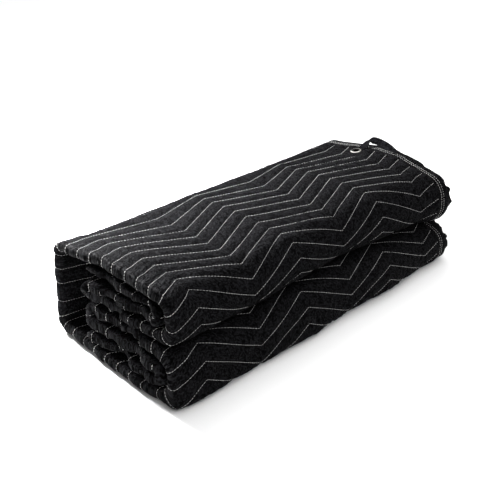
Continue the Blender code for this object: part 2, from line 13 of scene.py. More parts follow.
import bpy
import numpy as np
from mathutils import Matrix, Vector

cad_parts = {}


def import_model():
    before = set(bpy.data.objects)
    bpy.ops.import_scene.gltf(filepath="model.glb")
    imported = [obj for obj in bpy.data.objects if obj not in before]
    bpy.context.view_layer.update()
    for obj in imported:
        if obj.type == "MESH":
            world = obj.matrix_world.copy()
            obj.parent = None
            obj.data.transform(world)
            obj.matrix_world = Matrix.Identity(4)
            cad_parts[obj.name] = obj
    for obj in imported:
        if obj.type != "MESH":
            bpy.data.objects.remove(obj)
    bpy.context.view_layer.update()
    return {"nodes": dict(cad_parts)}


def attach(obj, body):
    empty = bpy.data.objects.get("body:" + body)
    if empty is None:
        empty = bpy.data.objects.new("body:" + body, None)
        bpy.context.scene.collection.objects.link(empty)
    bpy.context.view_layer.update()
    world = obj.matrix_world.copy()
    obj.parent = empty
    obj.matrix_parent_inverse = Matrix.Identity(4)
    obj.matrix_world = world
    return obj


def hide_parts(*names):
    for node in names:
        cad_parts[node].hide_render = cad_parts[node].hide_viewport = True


LOG = logging.getLogger("blanket")

# The flat sheet, its folds, and the ribbon of plies, as in the part's source. Heights in the bundle count in
# layers from the floor: its two halves meet at the parting, and HALF is half the height of each.
SHEET_LENGTH = 2.44
SHEET_WIDTH = 2.03
PLIES = 4
LAYERS = 8
PLY = 0.005
LENGTH = SHEET_LENGTH / PLIES
WRAP_SLACK = 0.0243
SPINE_Y = SHEET_WIDTH / LAYERS + WRAP_SLACK
PRESSED = 0.0008
RIBBON = PLIES * PLY - PRESSED
LAYER_GAP = 0.06
HALF = 2.0
PARTING_LAYER = 2 * HALF
UPPER_MIDDLE = 3 * HALF
FOLD_RADIUS = 0.041
SPINE_RADIUS = 0.030
SPINE_INNER_RADIUS = 0.010
SPINE_CORNER_LAYERS = 1.45
SPINE_INNER_CORNER_LAYERS = 0.5
NESTED_CLEARANCE = 0.0012
NOSE_Y = 0.196
NOSE_REACH = 0.018
HEM_END_Y = 0.192
HEM_END_THICKNESS = 0.45
HEM_END_REACH = 0.012
END_OFFSET_POWER = 3
NOSE = RIBBON / 2
NEAREST = 1e-9
ARC_STEPS = 96

# Parallel zigzag rows of stitching that run along the bundle
ROW_PITCH = 0.0265
ZIGZAG_SWING = 0.047
ZIGZAG_PEAKS = (0.055, 0.258, 0.452, 0.650)
ZIGZAG_VALLEYS = (-0.045, 0.160, 0.358, 0.552)
SPINE_SWING = 0.25
SPINE_SWING_FADE_IN = (-0.110, -0.020)
SPINE_SWING_FADE_OUT = (0.130, 0.260)
CREASE_SWING_FADE = 0.120

# The heights of the top's shoulder, back, lean and soft waves, as in the part's source
SUNK_REACH = (0.015, 0.120)
DROOP_REACH = (0.030, 0.115)
BACK_REACH = (0.130, 0.262)
LEAN_REACH = (0.030, 0.090)
WAVE_HEIGHT = 0.0012
WAVE_ALONG = 15.0
WAVE_START = 1.0
WAVE_ACROSS = 19.0

# One row for each section along the length: x, front of the lower and upper half, height of the crease and
# how far it drops, height of the top, its drop at the front, height by the spine, lean, and how boxy the
# folds are by the top and by the floor.
SECTION_FIELDS = ("x", "lower", "upper", "parting", "sunk", "top", "droop", "back", "lean", "square", "floor")
SECTIONS = (
    (0.000, -0.011, -0.003, 0.092, 0.000, 0.174, 0.000, 0.160, 0.002, 3.4, 6.0),
    (0.030, -0.016, -0.002, 0.091, 0.001, 0.169, 0.001, 0.157, 0.005, 3.0, 5.5),
    (0.060, -0.016, 0.002, 0.089, 0.002, 0.163, 0.002, 0.153, 0.008, 2.5, 5.0),
    (0.160, -0.013, 0.005, 0.086, 0.003, 0.158, 0.001, 0.152, 0.006, 2.2, 4.5),
    (0.258, -0.013, 0.008, 0.086, 0.002, 0.161, 0.000, 0.153, 0.003, 2.1, 4.5),
    (0.358, -0.008, 0.014, 0.086, 0.003, 0.163, 0.000, 0.154, 0.002, 2.0, 4.0),
    (0.452, -0.010, 0.013, 0.084, 0.006, 0.164, 0.001, 0.155, 0.002, 2.0, 4.0),
    (0.552, -0.002, 0.015, 0.081, 0.010, 0.167, 0.005, 0.157, 0.001, 2.0, 3.6),
    (0.610, -0.001, 0.004, 0.080, 0.014, 0.172, 0.014, 0.158, 0.000, 2.0, 3.2),
)

# One row for each stretch of the ribbon, from the hem inside the upper half to the hem inside the lower
# half: name, nominal run, and how far its near and far ends stand out.
STRETCHES = (
    ("upper_flap_end", 0.145, 0.002, -0.008),
    ("upper_flap_fold", 0.030, 0.004, 0.006),
    ("upper_flap", 0.145, 0.001, 0.002),
    ("upper_nose", 0.032, -0.003, -0.004),
    ("upper_return", 0.150, 0.001, 0.001),
    ("upper_front", 0.126, 0.004, 0.001),
    ("top", 0.200, 0.003, 0.000),
    ("spine_top", 0.044, -0.002, -0.020),
    ("spine", 0.098, -0.006, -0.030),
    ("spine_bottom", 0.044, -0.009, -0.020),
    ("bottom", 0.200, -0.011, -0.006),
    ("lower_front", 0.126, -0.004, 0.000),
    ("lower_return", 0.150, 0.000, -0.003),
    ("lower_nose", 0.032, -0.003, 0.003),
    ("lower_flap", 0.145, -0.005, -0.006),
    ("lower_flap_fold", 0.030, -0.006, 0.004),
    ("lower_flap_end", 0.145, -0.007, -0.002),
)
NEAR_END, FAR_END = 2, 3

# Side of the square photograph in pixels, which the camera's focal length is measured in
PHOTO_SIDE = 500


def smooth(value: np.ndarray | float, low: float, high: float) -> np.ndarray:
    """Give a smooth step.

    Args:
        value: Where the step is read.
        low: Where it is still 0.
        high: Where it has reached 1.

    Returns:
        The step, 3 t² - 2 t³ of the clipped share t.
    """
    share = np.clip((np.asarray(value, float) - low) / (high - low), 0.0, 1.0)
    return share * share * (3.0 - 2.0 * share)


@dataclass(frozen=True)
class Waves:
    """An uneven wave over one or two coordinates: sines of random length, direction and phase, averaged.

    Its fields are the seed of the draw, how many sines it has, and their longest and shortest wavelength.
    """

    seed: int
    count: int
    longest: float
    shortest: float

    def read(self, first: np.ndarray, second: np.ndarray | float = 0.0) -> np.ndarray:
        """Read the wave: the sum of sin(a first + b second + phase) over the root of the number of sines.

        Args:
            first: One coordinate of each place.
            second: The other coordinate, if the wave has two.

        Returns:
            The height, about -1 to 1.
        """
        draw = np.random.default_rng(self.seed)
        length = self.longest * (self.shortest / self.longest) ** draw.random(self.count)
        turn = draw.random(self.count) * 2.0 * math.pi
        phase = draw.random(self.count) * 2.0 * math.pi
        number = 2.0 * math.pi / length
        sines = zip(number * np.cos(turn), number * np.sin(turn), phase)
        return sum(np.sin(a * first + b * second + start) for a, b, start in sines) / math.sqrt(self.count)


class Ribbon:
    """The folded ribbon of plies: a place in it is x along the bundle, `at` along the ribbon, and a depth."""

    def __init__(self) -> None:
        """Lay out the stretches end to end, and find where the part that shows starts and ends."""
        self.names = [row[0] for row in STRETCHES]
        self.lengths = np.array([row[1] for row in STRETCHES])
        self.starts = np.concatenate([[0.0], np.cumsum(self.lengths)[:-1]])
        self.total = float(self.lengths.sum())
        self.middles = self.starts + self.lengths / 2.0
        self.first = self.start("upper_front")
        self.last = self.start("lower_return")

    def start(self, name: str) -> float:
        """Give where the named stretch starts along the ribbon."""
        return float(self.starts[self.names.index(name)])

    def section(self, x: np.ndarray) -> dict[str, np.ndarray]:
        """Blend the table of sections, smoothly from row to row.

        Args:
            x: Places along the bundle, as a column.

        Returns:
            Each field of the table at those places, as a column.
        """
        table = np.array(SECTIONS)
        marks = table[:, 0]
        inside = np.clip(x, marks[0], marks[-1])
        index = np.clip(np.searchsorted(marks, inside, side="left") - 1, 0, len(marks) - 2)
        share = (inside - marks[index]) / (marks[index + 1] - marks[index])
        share = share * share * (3.0 - 2.0 * share)
        return {
            name: table[index, column] + (table[index + 1, column] - table[index, column]) * share
            for column, name in enumerate(SECTION_FIELDS)
        }

    def place(
        self, row: dict[str, np.ndarray], y: np.ndarray, layer: np.ndarray, x: np.ndarray
    ) -> np.ndarray:
        """Turn a height counted in layers into a point of the section.

        Args:
            row: The section's fields.
            y: Places across the bundle.
            layer: Heights in layers.
            x: Places along the bundle.

        Returns:
            Y and Z of each point, along the last axis.
        """
        parting = row["parting"] - row["sunk"] * (1.0 - smooth(y, *SUNK_REACH))
        shoulder = row["droop"] * (1.0 - smooth(y, *DROOP_REACH))
        back = (row["top"] - row["back"]) * smooth(y, *BACK_REACH)
        wave = WAVE_HEIGHT * np.sin(WAVE_ALONG * x + WAVE_START) * np.sin(WAVE_ACROSS * y)
        top = row["top"] - shoulder - back + wave
        is_lower = layer <= PARTING_LAYER
        upper = parting + (top - parting) * (layer - PARTING_LAYER) / PARTING_LAYER
        height = np.where(is_lower, parting * layer / PARTING_LAYER, upper)
        front = 1.0 - smooth(y - row["upper"], *LEAN_REACH)
        lean = row["lean"] * (layer - UPPER_MIDDLE) / HALF * front
        return np.stack([y + np.where(is_lower, 0.0, lean), height], -1)

    def arc(self, share: np.ndarray, low: np.ndarray, high: np.ndarray) -> tuple[np.ndarray, np.ndarray]:
        """Walk a squared half circle at an even pace: |across|^s + |up|^s = 1, s being its squareness.

        Args:
            share: Shares of the walk, 0 at its low end and 1 at its high end, one row for each section.
            low: Squareness of the low half, as a column.
            high: Squareness of the high half, as a column.

        Returns:
            Across and up, each from -1 to 1.
        """
        step = np.linspace(0.0, 1.0, ARC_STEPS + 1)[None, :]
        angle = math.pi / 2.0 * step**3 * (10.0 - 15.0 * step + 6.0 * step**2)
        across, up = np.empty_like(share), np.empty_like(share)
        wanted = np.clip(np.abs(share - 0.5) * 2.0, 0.0, 1.0)
        for square, half in ((low, share <= 0.5), (high, share > 0.5)):
            points_a = np.clip(np.cos(angle), 0.0, 1.0) ** (2.0 / square)
            points_u = np.sin(angle) ** (2.0 / square)
            steps = np.hypot(np.diff(points_a, axis=1), np.diff(points_u, axis=1))
            walked = np.concatenate([np.zeros((len(steps), 1)), np.cumsum(steps, 1)], 1)
            walked /= walked[:, -1:]
            for index in range(len(share)):
                row = index if len(walked) > 1 else 0
                at = np.interp(wanted[index], walked[row], angle[0])
                power = 2.0 / square[row, 0]
                mine = half[index]
                across[index, mine] = (np.clip(np.cos(at), 0.0, 1.0) ** power)[mine]
                up[index, mine] = (np.sin(at) ** power)[mine]
        return across, np.where(share > 0.5, up, -up)

    def front(self, row: dict[str, np.ndarray], share: np.ndarray, upper: bool, nested: bool) -> np.ndarray:
        """Give the outer and inner point of a front fold: two squared half circles about one centre.

        Args:
            row: The section's fields.
            share: Shares of the fold, from its lower to its upper end.
            upper: Whether it is in the upper half.
            nested: Whether it is the inner one of the two nested folds.

        Returns:
            Y and layer of the outer and the inner point, along the last two axes.
        """
        centre = row["upper" if upper else "lower"] + FOLD_RADIUS
        middle = UPPER_MIDDLE if upper else HALF
        round_two = np.full_like(row["square"], 2.0)
        if nested:
            sides = (
                (FOLD_RADIUS - RIBBON - NESTED_CLEARANCE, HALF / 2 - LAYER_GAP / 2, round_two, round_two),
                (NESTED_CLEARANCE, LAYER_GAP / 2, round_two, round_two),
            )
        else:
            rise = HALF - LAYER_GAP / 2 if upper else HALF
            low = row["square"] if upper else row["floor"]
            sides = (
                (FOLD_RADIUS, rise, low, row["square"]),
                (FOLD_RADIUS - RIBBON, HALF / 2 + LAYER_GAP / 2, round_two, round_two),
            )
        points = []
        for reach, rise, low, high in sides:
            across, up = self.arc(share, low, high)
            if not upper and not nested and rise == HALF:
                rise = np.where(up > 0.0, HALF - LAYER_GAP / 2, HALF)
            points.append(np.stack([centre - across * reach, middle + up * rise], -1))
        return np.stack(points, -2)

    def nose(self, share: np.ndarray, middle: float) -> np.ndarray:
        """Give the outer and inner point of a fold on the spine side of the flaps, walked downward.

        Args:
            share: Shares of the fold, from its upper to its lower end.
            middle: Its middle in layers.

        Returns:
            Y and layer of the outer and the inner point, along the last two axes.
        """
        angle = (0.5 - share) * math.pi
        across, up = np.cos(angle), np.sin(angle)
        base = NOSE_Y - NOSE_REACH
        outer = np.stack([base + across * NOSE_REACH, middle + up * (1.0 - LAYER_GAP / 2)], -1)
        inner = np.stack([base + across * NESTED_CLEARANCE, middle + up * LAYER_GAP / 2], -1)
        return np.stack([outer, inner], -2)

    def corner(self, share: np.ndarray, top: bool) -> np.ndarray:
        """Give the outer and inner point of the spine's corner, a quarter ellipse from flat to wall.

        Args:
            share: Shares of the corner, from its flat to its wall end.
            top: Whether it is the corner at the top.

        Returns:
            Y and layer of the outer and the inner point, along the last two axes.
        """
        angle = 0.5 * math.pi * share
        points = []
        for radius, rise, wall, level in (
            (SPINE_RADIUS, SPINE_CORNER_LAYERS, SPINE_Y, 0.0),
            (SPINE_INNER_RADIUS, SPINE_INNER_CORNER_LAYERS, SPINE_Y - RIBBON, 1.0 - LAYER_GAP / 2),
        ):
            y = wall - radius + radius * np.sin(angle)
            layer = level + rise * (1.0 - np.cos(angle))
            points.append(np.stack([y, LAYERS - layer if top else layer], -1))
        return np.stack(points, -2)

    def flat(
        self, start: np.ndarray, end: np.ndarray, share: np.ndarray, outer: float, inner: float
    ) -> np.ndarray:
        """Give the outer and inner point of a flat layer between two places across the bundle.

        Args:
            start: Where it starts across the bundle.
            end: Where it ends.
            share: Shares of the way from start to end.
            outer: Height of its outer face in layers.
            inner: Height of its inner face in layers.

        Returns:
            Y and layer of the outer and the inner point, along the last two axes.
        """
        y = start + (end - start) * share
        return np.stack([np.stack([y, np.full_like(y, layer)], -1) for layer in (outer, inner)], -2)

    def rung(self, row: dict[str, np.ndarray], name: str, share: np.ndarray) -> np.ndarray:
        """Give the outer and inner point of the ribbon at shares of the named stretch.

        Args:
            row: The section's fields.
            name: The stretch.
            share: Shares of it, one row for each section.

        Returns:
            Y and layer of the outer and the inner point, along the last two axes.
        """
        gap = LAYER_GAP / 2
        upper = row["upper"] + FOLD_RADIUS
        lower = row["lower"] + FOLD_RADIUS
        nose = np.full_like(upper, NOSE_Y - NOSE_REACH)
        hem = np.full_like(upper, HEM_END_Y)
        zero, one = np.zeros_like(share), np.ones_like(share)

        def between(first: np.ndarray, second: np.ndarray) -> np.ndarray:
            """Blend two rungs."""
            return first + (second - first) * share[..., None, None]

        makers = {
            "upper_flap_end": lambda: self.flat(hem, upper, share, 6 + gap, 7 - gap),
            "upper_flap_fold": lambda: self.front(row, 1.0 - share, True, True)[..., ::-1, :],
            "upper_flap": lambda: self.flat(upper, nose, share, 6 - gap, 5 + gap),
            "upper_nose": lambda: self.nose(share, 5),
            "upper_return": lambda: self.flat(nose, upper, share, 4 + gap, 5 - gap),
            "upper_front": lambda: self.front(row, share, True, False),
            "top": lambda: between(self.front(row, one, True, False), self.corner(zero, True)),
            "spine_top": lambda: self.corner(share, True),
            "spine": lambda: between(self.corner(one, True), self.corner(one, False)),
            "spine_bottom": lambda: self.corner(1.0 - share, False),
            "bottom": lambda: between(self.corner(zero, False), self.front(row, zero, False, False)),
            "lower_front": lambda: self.front(row, share, False, False),
            "lower_return": lambda: self.flat(lower, nose, share, 4 - gap, 3 + gap),
            "lower_nose": lambda: self.nose(share, 3),
            "lower_flap": lambda: self.flat(nose, lower, share, 2 + gap, 3 - gap),
            "lower_flap_fold": lambda: self.front(row, 1.0 - share, False, True)[..., ::-1, :],
            "lower_flap_end": lambda: self.flat(lower, hem, share, 2 - gap, 1 + gap),
        }
        return makers[name]()

    def zigzag(self, x: np.ndarray) -> np.ndarray:
        """Give the sideways place of a stitch row: a triangle wave through the named peaks and valleys."""
        turns = sorted([(peak, 0.5) for peak in ZIGZAG_PEAKS] + [(valley, -0.5) for valley in ZIGZAG_VALLEYS])
        return ZIGZAG_SWING * np.interp(x, [turn[0] for turn in turns], [turn[1] for turn in turns])

    def swing(self, at: np.ndarray) -> np.ndarray:
        """Give how much the stitch rows follow the zigzag: all of it where they show best.

        Args:
            at: Places along the ribbon.

        Returns:
            The share of the zigzag there, less by the spine and none deep in the creases.
        """
        inside = np.maximum(np.maximum(self.first - at, at - self.last), 0.0)
        past = at - self.start("spine")
        by_spine = smooth(past, *SPINE_SWING_FADE_IN) - smooth(past, *SPINE_SWING_FADE_OUT)
        return (1.0 - smooth(inside, 0.0, CREASE_SWING_FADE)) * (1.0 - (1.0 - SPINE_SWING) * by_spine)

    def end_offset(self, at: np.ndarray, column: int) -> np.ndarray:
        """Give how far the ribbon's near or far end stands out, blended between the stretches' middles.

        Args:
            at: Places along the ribbon.
            column: The column of the stretches that is read, NEAR_END or FAR_END.

        Returns:
            The offsets along the bundle.
        """
        values = np.array([row[column] for row in STRETCHES])
        index = np.clip(np.searchsorted(self.middles, at) - 1, 0, len(values) - 2)
        share = smooth((at - self.middles[index]) / (self.middles[index + 1] - self.middles[index]), 0.0, 1.0)
        return values[index] + (values[index + 1] - values[index]) * share

    def pair(self, x: np.ndarray, at: np.ndarray) -> tuple[np.ndarray, np.ndarray]:
        """Work out the ribbon's two faces on a grid.

        Args:
            x: Places along the bundle.
            at: Places along the ribbon.

        Returns:
            The outer points and the inner points.
        """
        x = np.asarray(x, float)[:, None]
        shifted = at[None, :] + self.zigzag(x) * self.swing(at)[None, :]
        ends = (at < NEAREST) | (at > self.total - NEAREST)
        shifted = np.where(ends[None, :], at[None, :], shifted)
        inside = np.clip(shifted, 0.0, self.total - NEAREST)
        stretch = np.searchsorted(self.starts, inside, side="right") - 1
        share = (inside - self.starts[stretch]) / self.lengths[stretch]
        row = self.section(x)
        rungs = np.zeros((*shifted.shape, 2, 2))
        for index, name in enumerate(self.names):
            mine = stretch == index
            if mine.any():
                columns = mine.any(0)
                made = self.rung(row, name, np.clip(share[:, columns], 0.0, 1.0))
                rungs[:, columns] = np.where(mine[:, columns, None, None], made, rungs[:, columns])
        row = {name: value[..., None] for name, value in row.items()}
        across = self.place(row, rungs[..., 0], rungs[..., 1], x[..., None])
        near = self.end_offset(shifted, NEAR_END) * (1.0 - x / LENGTH) ** END_OFFSET_POWER
        far = self.end_offset(shifted, FAR_END) * np.clip(x / LENGTH, 0.0, 1.0) ** END_OFFSET_POWER
        along = (x + near + far)[..., None, None]
        points = np.concatenate([np.broadcast_to(along, (*shifted.shape, 2, 1)), across], -1)
        return points[..., 0, :], points[..., 1, :]


class Edge(IntEnum):
    """The edges at the far end, each of which stands out by its own amount."""

    OUTER_HEM = 0
    INNER_HEM = 1
    FAR_FOLD = 2


# For each of these edges: how far it stands out, how high its uneven wave is, and the wave
RAGGED_EDGES = {
    Edge.OUTER_HEM: (0.0026, 0.0010, Waves(20, 8, 0.050, 0.016)),
    Edge.INNER_HEM: (0.0130, 0.0050, Waves(21, 8, 0.050, 0.016)),
    Edge.FAR_FOLD: (0.0160, 0.0058, Waves(22, 8, 0.050, 0.016)),
}

# A bend that is higher than this in depth goes round the whole ribbon, so the quilting raises it
WHOLE_RIBBON = 0.9


@dataclass
class Profile:
    """Rows of the sheet's closed section: a ply is walked out on one face and back on the other.

    Each row holds its x, its depth in the ribbon, 1 at the outer and -1 at the inner face, how much the
    quilting raises it along x and in depth, and its edge at the far end.
    """

    rows: list[tuple[float, float, float, float, Edge]] = field(default_factory=list)

    def line(self, xs: np.ndarray, depth: float, lift: float = 0.0, edge: Edge = Edge.OUTER_HEM) -> None:
        """Add rows along the bundle at one depth.

        Args:
            xs: Places along the bundle.
            depth: Depth in the ribbon.
            lift: Share of the quilting's height that raises the row, with its sign.
            edge: The edge at the far end that the row belongs to.
        """
        self.rows.extend((float(x), depth, 0.0, lift, edge) for x in xs)

    def bend(
        self, x: float, middle: float, reach: float, half: float, turn: np.ndarray,
        edge: Edge = Edge.OUTER_HEM,
    ) -> None:
        """Add rows round a fold or an edge: x + reach cos t, middle + half sin t.

        Args:
            x: Centre of the bend along the bundle.
            middle: Its centre in depth.
            reach: How far it reaches along the bundle, negative towards the near end.
            half: Its half height in depth.
            turn: The angles t.
            edge: The edge at the far end that it belongs to.
        """
        lift = 1.0 if half > WHOLE_RIBBON else 0.0
        for angle in turn:
            along, up = math.cos(angle), math.sin(angle)
            out_x = math.copysign(lift * along, reach)
            self.rows.append((x + reach * along, middle + half * up, out_x, lift * up, edge))

    def arrays(self) -> tuple[np.ndarray, ...]:
        """Give the rows' x, depth, out_x, out_depth and edge, each as an array."""
        return tuple(np.array(column) for column in zip(*self.rows))


@dataclass(frozen=True)
class Padding:
    """The height of the batting: a puff between each two stitch rows, and short wrinkles across it."""

    relief: float = 0.0012
    fullness: float = 0.7
    drift: Waves = Waves(3, 5, 0.30, 0.05)
    drift_share: float = 0.18
    wrinkle: float = 0.00085
    wrinkle_length: float = 0.0135
    wrinkle_drift: float = 2.4
    wrinkle_step: float = 2.1
    wrinkle_slant: float = 1.4
    wrinkle_fade: float = 0.45
    least: float = 0.15
    patches: Waves = Waves(7, 6, 0.25, 0.06)
    patch_range: tuple[float, float] = (-0.4, 1.2)
    finest: Waves = Waves(11, 9, 0.030, 0.012)
    finest_share: float = 0.4
    steepness: float = 2.2

    def height(self, x: np.ndarray, at: np.ndarray, first: float) -> np.ndarray:
        """Work out the height of the padding.

        Args:
            x: Places along the bundle, as a column.
            at: Places along the ribbon, as a row.
            first: Where a stitch row lies along the ribbon.

        Returns:
            The height: a puff |sin|^fullness between two rows, and wrinkles that start beside the stitches,
            a sine along x that drifts, steps from row to row and is stronger in some patches than in others.
        """
        share = (at - first) / ROW_PITCH
        puff = np.abs(np.sin(math.pi * share))
        drift = self.drift.read(x, at)
        patch = smooth(self.patches.read(x, at), *self.patch_range)
        slant = self.wrinkle_slant * np.sin(2.0 * math.pi * share)
        phase = 2.0 * math.pi * x / self.wrinkle_length + self.wrinkle_drift * drift
        beside = np.minimum(1.0, self.steepness * puff)
        gathered = np.sin(phase + self.wrinkle_step * np.floor(share) + slant)
        gathered = gathered * (1.0 - self.wrinkle_fade * puff) * (self.least + (1.0 - self.least) * patch)
        finest = self.finest.read(x, at) * self.finest_share
        body = 2.0 * puff**self.fullness - 1.0 + self.drift_share * drift * beside
        return self.relief * body + self.wrinkle * beside * (gathered + finest)


@dataclass(frozen=True)
class CrumpledFolds:
    """How the folds at the near end are crumpled, most of all those of the layers inside."""

    reach: tuple[float, float] = (0.014, 0.075)
    outside_share: float = 0.22
    out: float = 0.00462
    outline: Waves = Waves(41, 7, 0.15, 0.035)
    bumps: Waves = Waves(42, 6, 0.040, 0.018)
    bumps_share: float = 0.5
    thin: float = 0.32
    squeeze: Waves = Waves(43, 7, 0.14, 0.030)
    squeeze_range: tuple[float, float] = (-0.9, 1.1)
    sag: Waves = Waves(44, 6, 0.12, 0.040)
    mean_sag: float = 0.35
    crease: float = 0.0010
    creases: Waves = Waves(45, 9, 0.036, 0.016)
    crease_slant: float = 0.35

    def read(self, x: np.ndarray, at: np.ndarray, hidden: np.ndarray) -> tuple[np.ndarray, ...]:
        """Work out how the folds are crumpled, from uneven waves that fade away from the near end.

        Args:
            x: Places along the bundle, as a column.
            at: Places along the ribbon, as a row.
            hidden: How far each place along the ribbon lies inside the bundle, as a row.

        Returns:
            How far the fold stands out, the share by which it is squeezed and how much of that it sags, and
            the height of the creases in it.
        """
        near = 1.0 - smooth(x, *self.reach)
        weight = near * (self.outside_share + (1.0 - self.outside_share) * hidden)
        stands = self.outline.read(at) + self.bumps_share * self.bumps.read(at, x)
        return (
            self.out * weight * stands,
            self.thin * near * hidden * smooth(self.squeeze.read(at), *self.squeeze_range),
            np.clip(self.mean_sag + (1.0 - self.mean_sag) * self.sag.read(at), -1.0, 1.0),
            self.crease * weight * self.creases.read(at, self.crease_slant * x),
        )


@dataclass
class QuiltedCloth:
    """The padded sheet: one closed skin round four plies that are joined at three folds, with two hems."""

    ribbon: Ribbon
    origin: tuple[float, float, float] = (0.30525, 0.1311, 0.0)

    # Columns of points: how many to a stitch row, which of them stay on the flat bottom, how many to a row on
    # the layers inside, and how far round a fold more of them are shared with the hidden faces
    columns_a_row: int = 7
    bottom_columns: tuple[int, ...] = (0, 2, 5)
    inside_columns: int = 6
    spare_rows: int = 2
    fold_margin: float = 0.03

    # Rows of points: the gap between the plies in depth, the reach of the closer rows by the far and near
    # end, how many rows these and the long run between them have, the places of the rows inside, how many
    # rows go round each bend, and how far out the two faces of the inner fold lie in the near fold
    ply_gap: float = 0.03
    far_rows_reach: float = 0.025
    near_rows_reach: float = 0.020
    row_counts: tuple[int, int, int] = (13, 172, 5)
    inner_face_rows: tuple[float, ...] = (0.0125, 0.016, 0.020, 0.026, 0.034, 0.045, 0.058, 0.075, 0.095)
    hidden_rows: tuple[float, ...] = (0.025, 0.105, 0.21, 0.31, 0.405, 0.50, 0.575)
    inner_hem_row: float = 0.020
    hem_turn: int = 5
    near_turn: int = 15
    far_fold_turn: int = 9
    hidden_turn: int = 7
    nested: tuple[float, float] = (0.46, 0.54)

    # The padding, and how it thins out towards the far hem, the side hems, the inside and the open near end
    padding: Padding = Padding()
    inner_relief: float = 0.0008
    hem_band: float = 0.0186
    hem_fade: float = 0.006
    side_hem: tuple[float, float] = (0.004, 0.020)
    showing: tuple[float, float] = (-0.05, 0.02)
    open_end: tuple[float, float] = (0.010, 0.045)
    open_end_loss: float = 0.6
    open_end_inside: float = 0.15

    # The near folds, how squared off they are and how much less so outside, the reach of the ragged far
    # edges, and the lower front's foot: how far it stands out, and how high, deep and long it is
    folds: CrumpledFolds = CrumpledFolds()
    boxy: float = 0.36
    boxy_outside_loss: float = 0.7
    ragged_reach: float = 0.05
    foot: float = 0.0048
    foot_height: float = 0.035
    foot_depth: tuple[float, float] = (0.010, 0.050)
    foot_along: tuple[float, float] = (0.280, 0.420)

    def columns(self) -> tuple[np.ndarray, np.ndarray]:
        """Choose the places along the ribbon that carry points.

        Returns:
            All the places, and the positions of those that the hidden faces use too.
        """
        ribbon, in_row, margin = self.ribbon, self.columns_a_row, self.fold_margin
        step = ROW_PITCH / in_row
        rows = round((ribbon.last - ribbon.first) / ROW_PITCH) + self.spare_rows
        index = np.arange(-self.spare_rows * in_row, rows * in_row + 1)
        quilted = ribbon.first + step * index
        bottom, front = ribbon.start("bottom") + margin, ribbon.start("lower_front") - margin
        on_bottom = (quilted > bottom) & (quilted < front)
        chosen = ~on_bottom | np.isin(index % in_row, self.bottom_columns)
        by_fold = np.zeros(len(quilted), bool)
        for name in ("upper_front", "lower_front", "spine_top", "spine_bottom"):
            start = ribbon.start(name)
            run = ribbon.lengths[ribbon.names.index(name)]
            by_fold |= (quilted > start - margin) & (quilted < start + run + margin)
        shared = (index % in_row == 0) | (by_fold & (index % 2 == 0))
        places = [(at, keep) for at, keep in zip(quilted[chosen], (shared & chosen)[chosen])]
        coarse = ROW_PITCH / self.inside_columns
        before, after = math.ceil(-ribbon.first / coarse), math.floor((ribbon.total - ribbon.first) / coarse)
        for number in range(before, after + 1):
            at = ribbon.first + number * coarse
            name = ribbon.names[int(np.searchsorted(ribbon.starts, max(at, 0.0), side="right")) - 1]
            bent = "nose" in name or "fold" in name
            if (at < quilted[0] - step / 2 or at > quilted[-1] + step / 2) and (bent or number % 2 == 0):
                places.append((at, bent or number % self.inside_columns == 0))
        places += [(0.0, True), (ribbon.total, True)]
        places.sort()
        keep = np.array([place[1] for place in places])
        keep[0] = keep[-1] = True
        return np.array([place[0] for place in places]), np.flatnonzero(keep)

    def surface(self, rows: tuple[np.ndarray, ...], at: np.ndarray) -> np.ndarray:
        """Work out the points of some rows of the sheet.

        Each is the ribbon's middle plus a share of its half thickness, moved out by the height of the padding
        and of the creases, and along the bundle by the crumpled near folds and the ragged far edges.

        Args:
            rows: The rows' x, depth, out_x, out_depth and edge.
            at: Places along the ribbon.

        Returns:
            A grid of points, in the part's own frame.
        """
        x, depth, out_x, out_depth, edge = (values[:, None] for values in rows)
        outer, inner = self.ribbon.pair(np.clip(x[:, 0], 0.0, LENGTH), at)
        middle, half = (outer + inner) / 2.0, (outer - inner) / 2.0
        normal = half / np.linalg.norm(half, axis=-1, keepdims=True)
        from_end = np.minimum(at, self.ribbon.total - at)
        shows = smooth(at - self.ribbon.first, *self.showing) * smooth(self.ribbon.last - at, *self.showing)
        height = self.padding_height(x, at, out_depth, shows) * smooth(from_end, *self.side_hem)
        stands, squeezed, sags, creased = self.folds.read(x, at[None, :], 1.0 - shows[None, :])
        height += creased
        thin = HEM_END_THICKNESS + (1.0 - HEM_END_THICKNESS) * smooth(from_end, 0.0, HEM_END_REACH)
        points = middle + half * (depth * thin * (1.0 - squeezed))[..., None]
        points[..., 2] -= np.abs(half[..., 2]) * squeezed * sags
        points += normal * (height * out_depth)[..., None]
        round_in = np.clip(-out_x, 0.0, 1.0)
        squared = NOSE * (round_in**self.boxy - round_in) * (1.0 - self.boxy_outside_loss * shows)
        points[..., 0] += height * out_x - stands - squared + (x - np.clip(x, 0.0, LENGTH))
        far = smooth(x, LENGTH - self.ragged_reach, LENGTH)
        for kind, (out, wave, ragged) in RAGGED_EDGES.items():
            points[..., 0] += np.where(edge == kind, (out + wave * ragged.read(at)) * far, 0.0)
        low = 1.0 - smooth(points[..., 2], 0.0, self.foot_height)
        front = 1.0 - smooth(points[..., 1], *self.foot_depth)
        points[..., 1] -= self.foot * low * front * (1.0 - smooth(x, *self.foot_along))
        points -= np.array(self.origin)
        points[..., 2] = np.maximum(points[..., 2], 0.0)
        return points

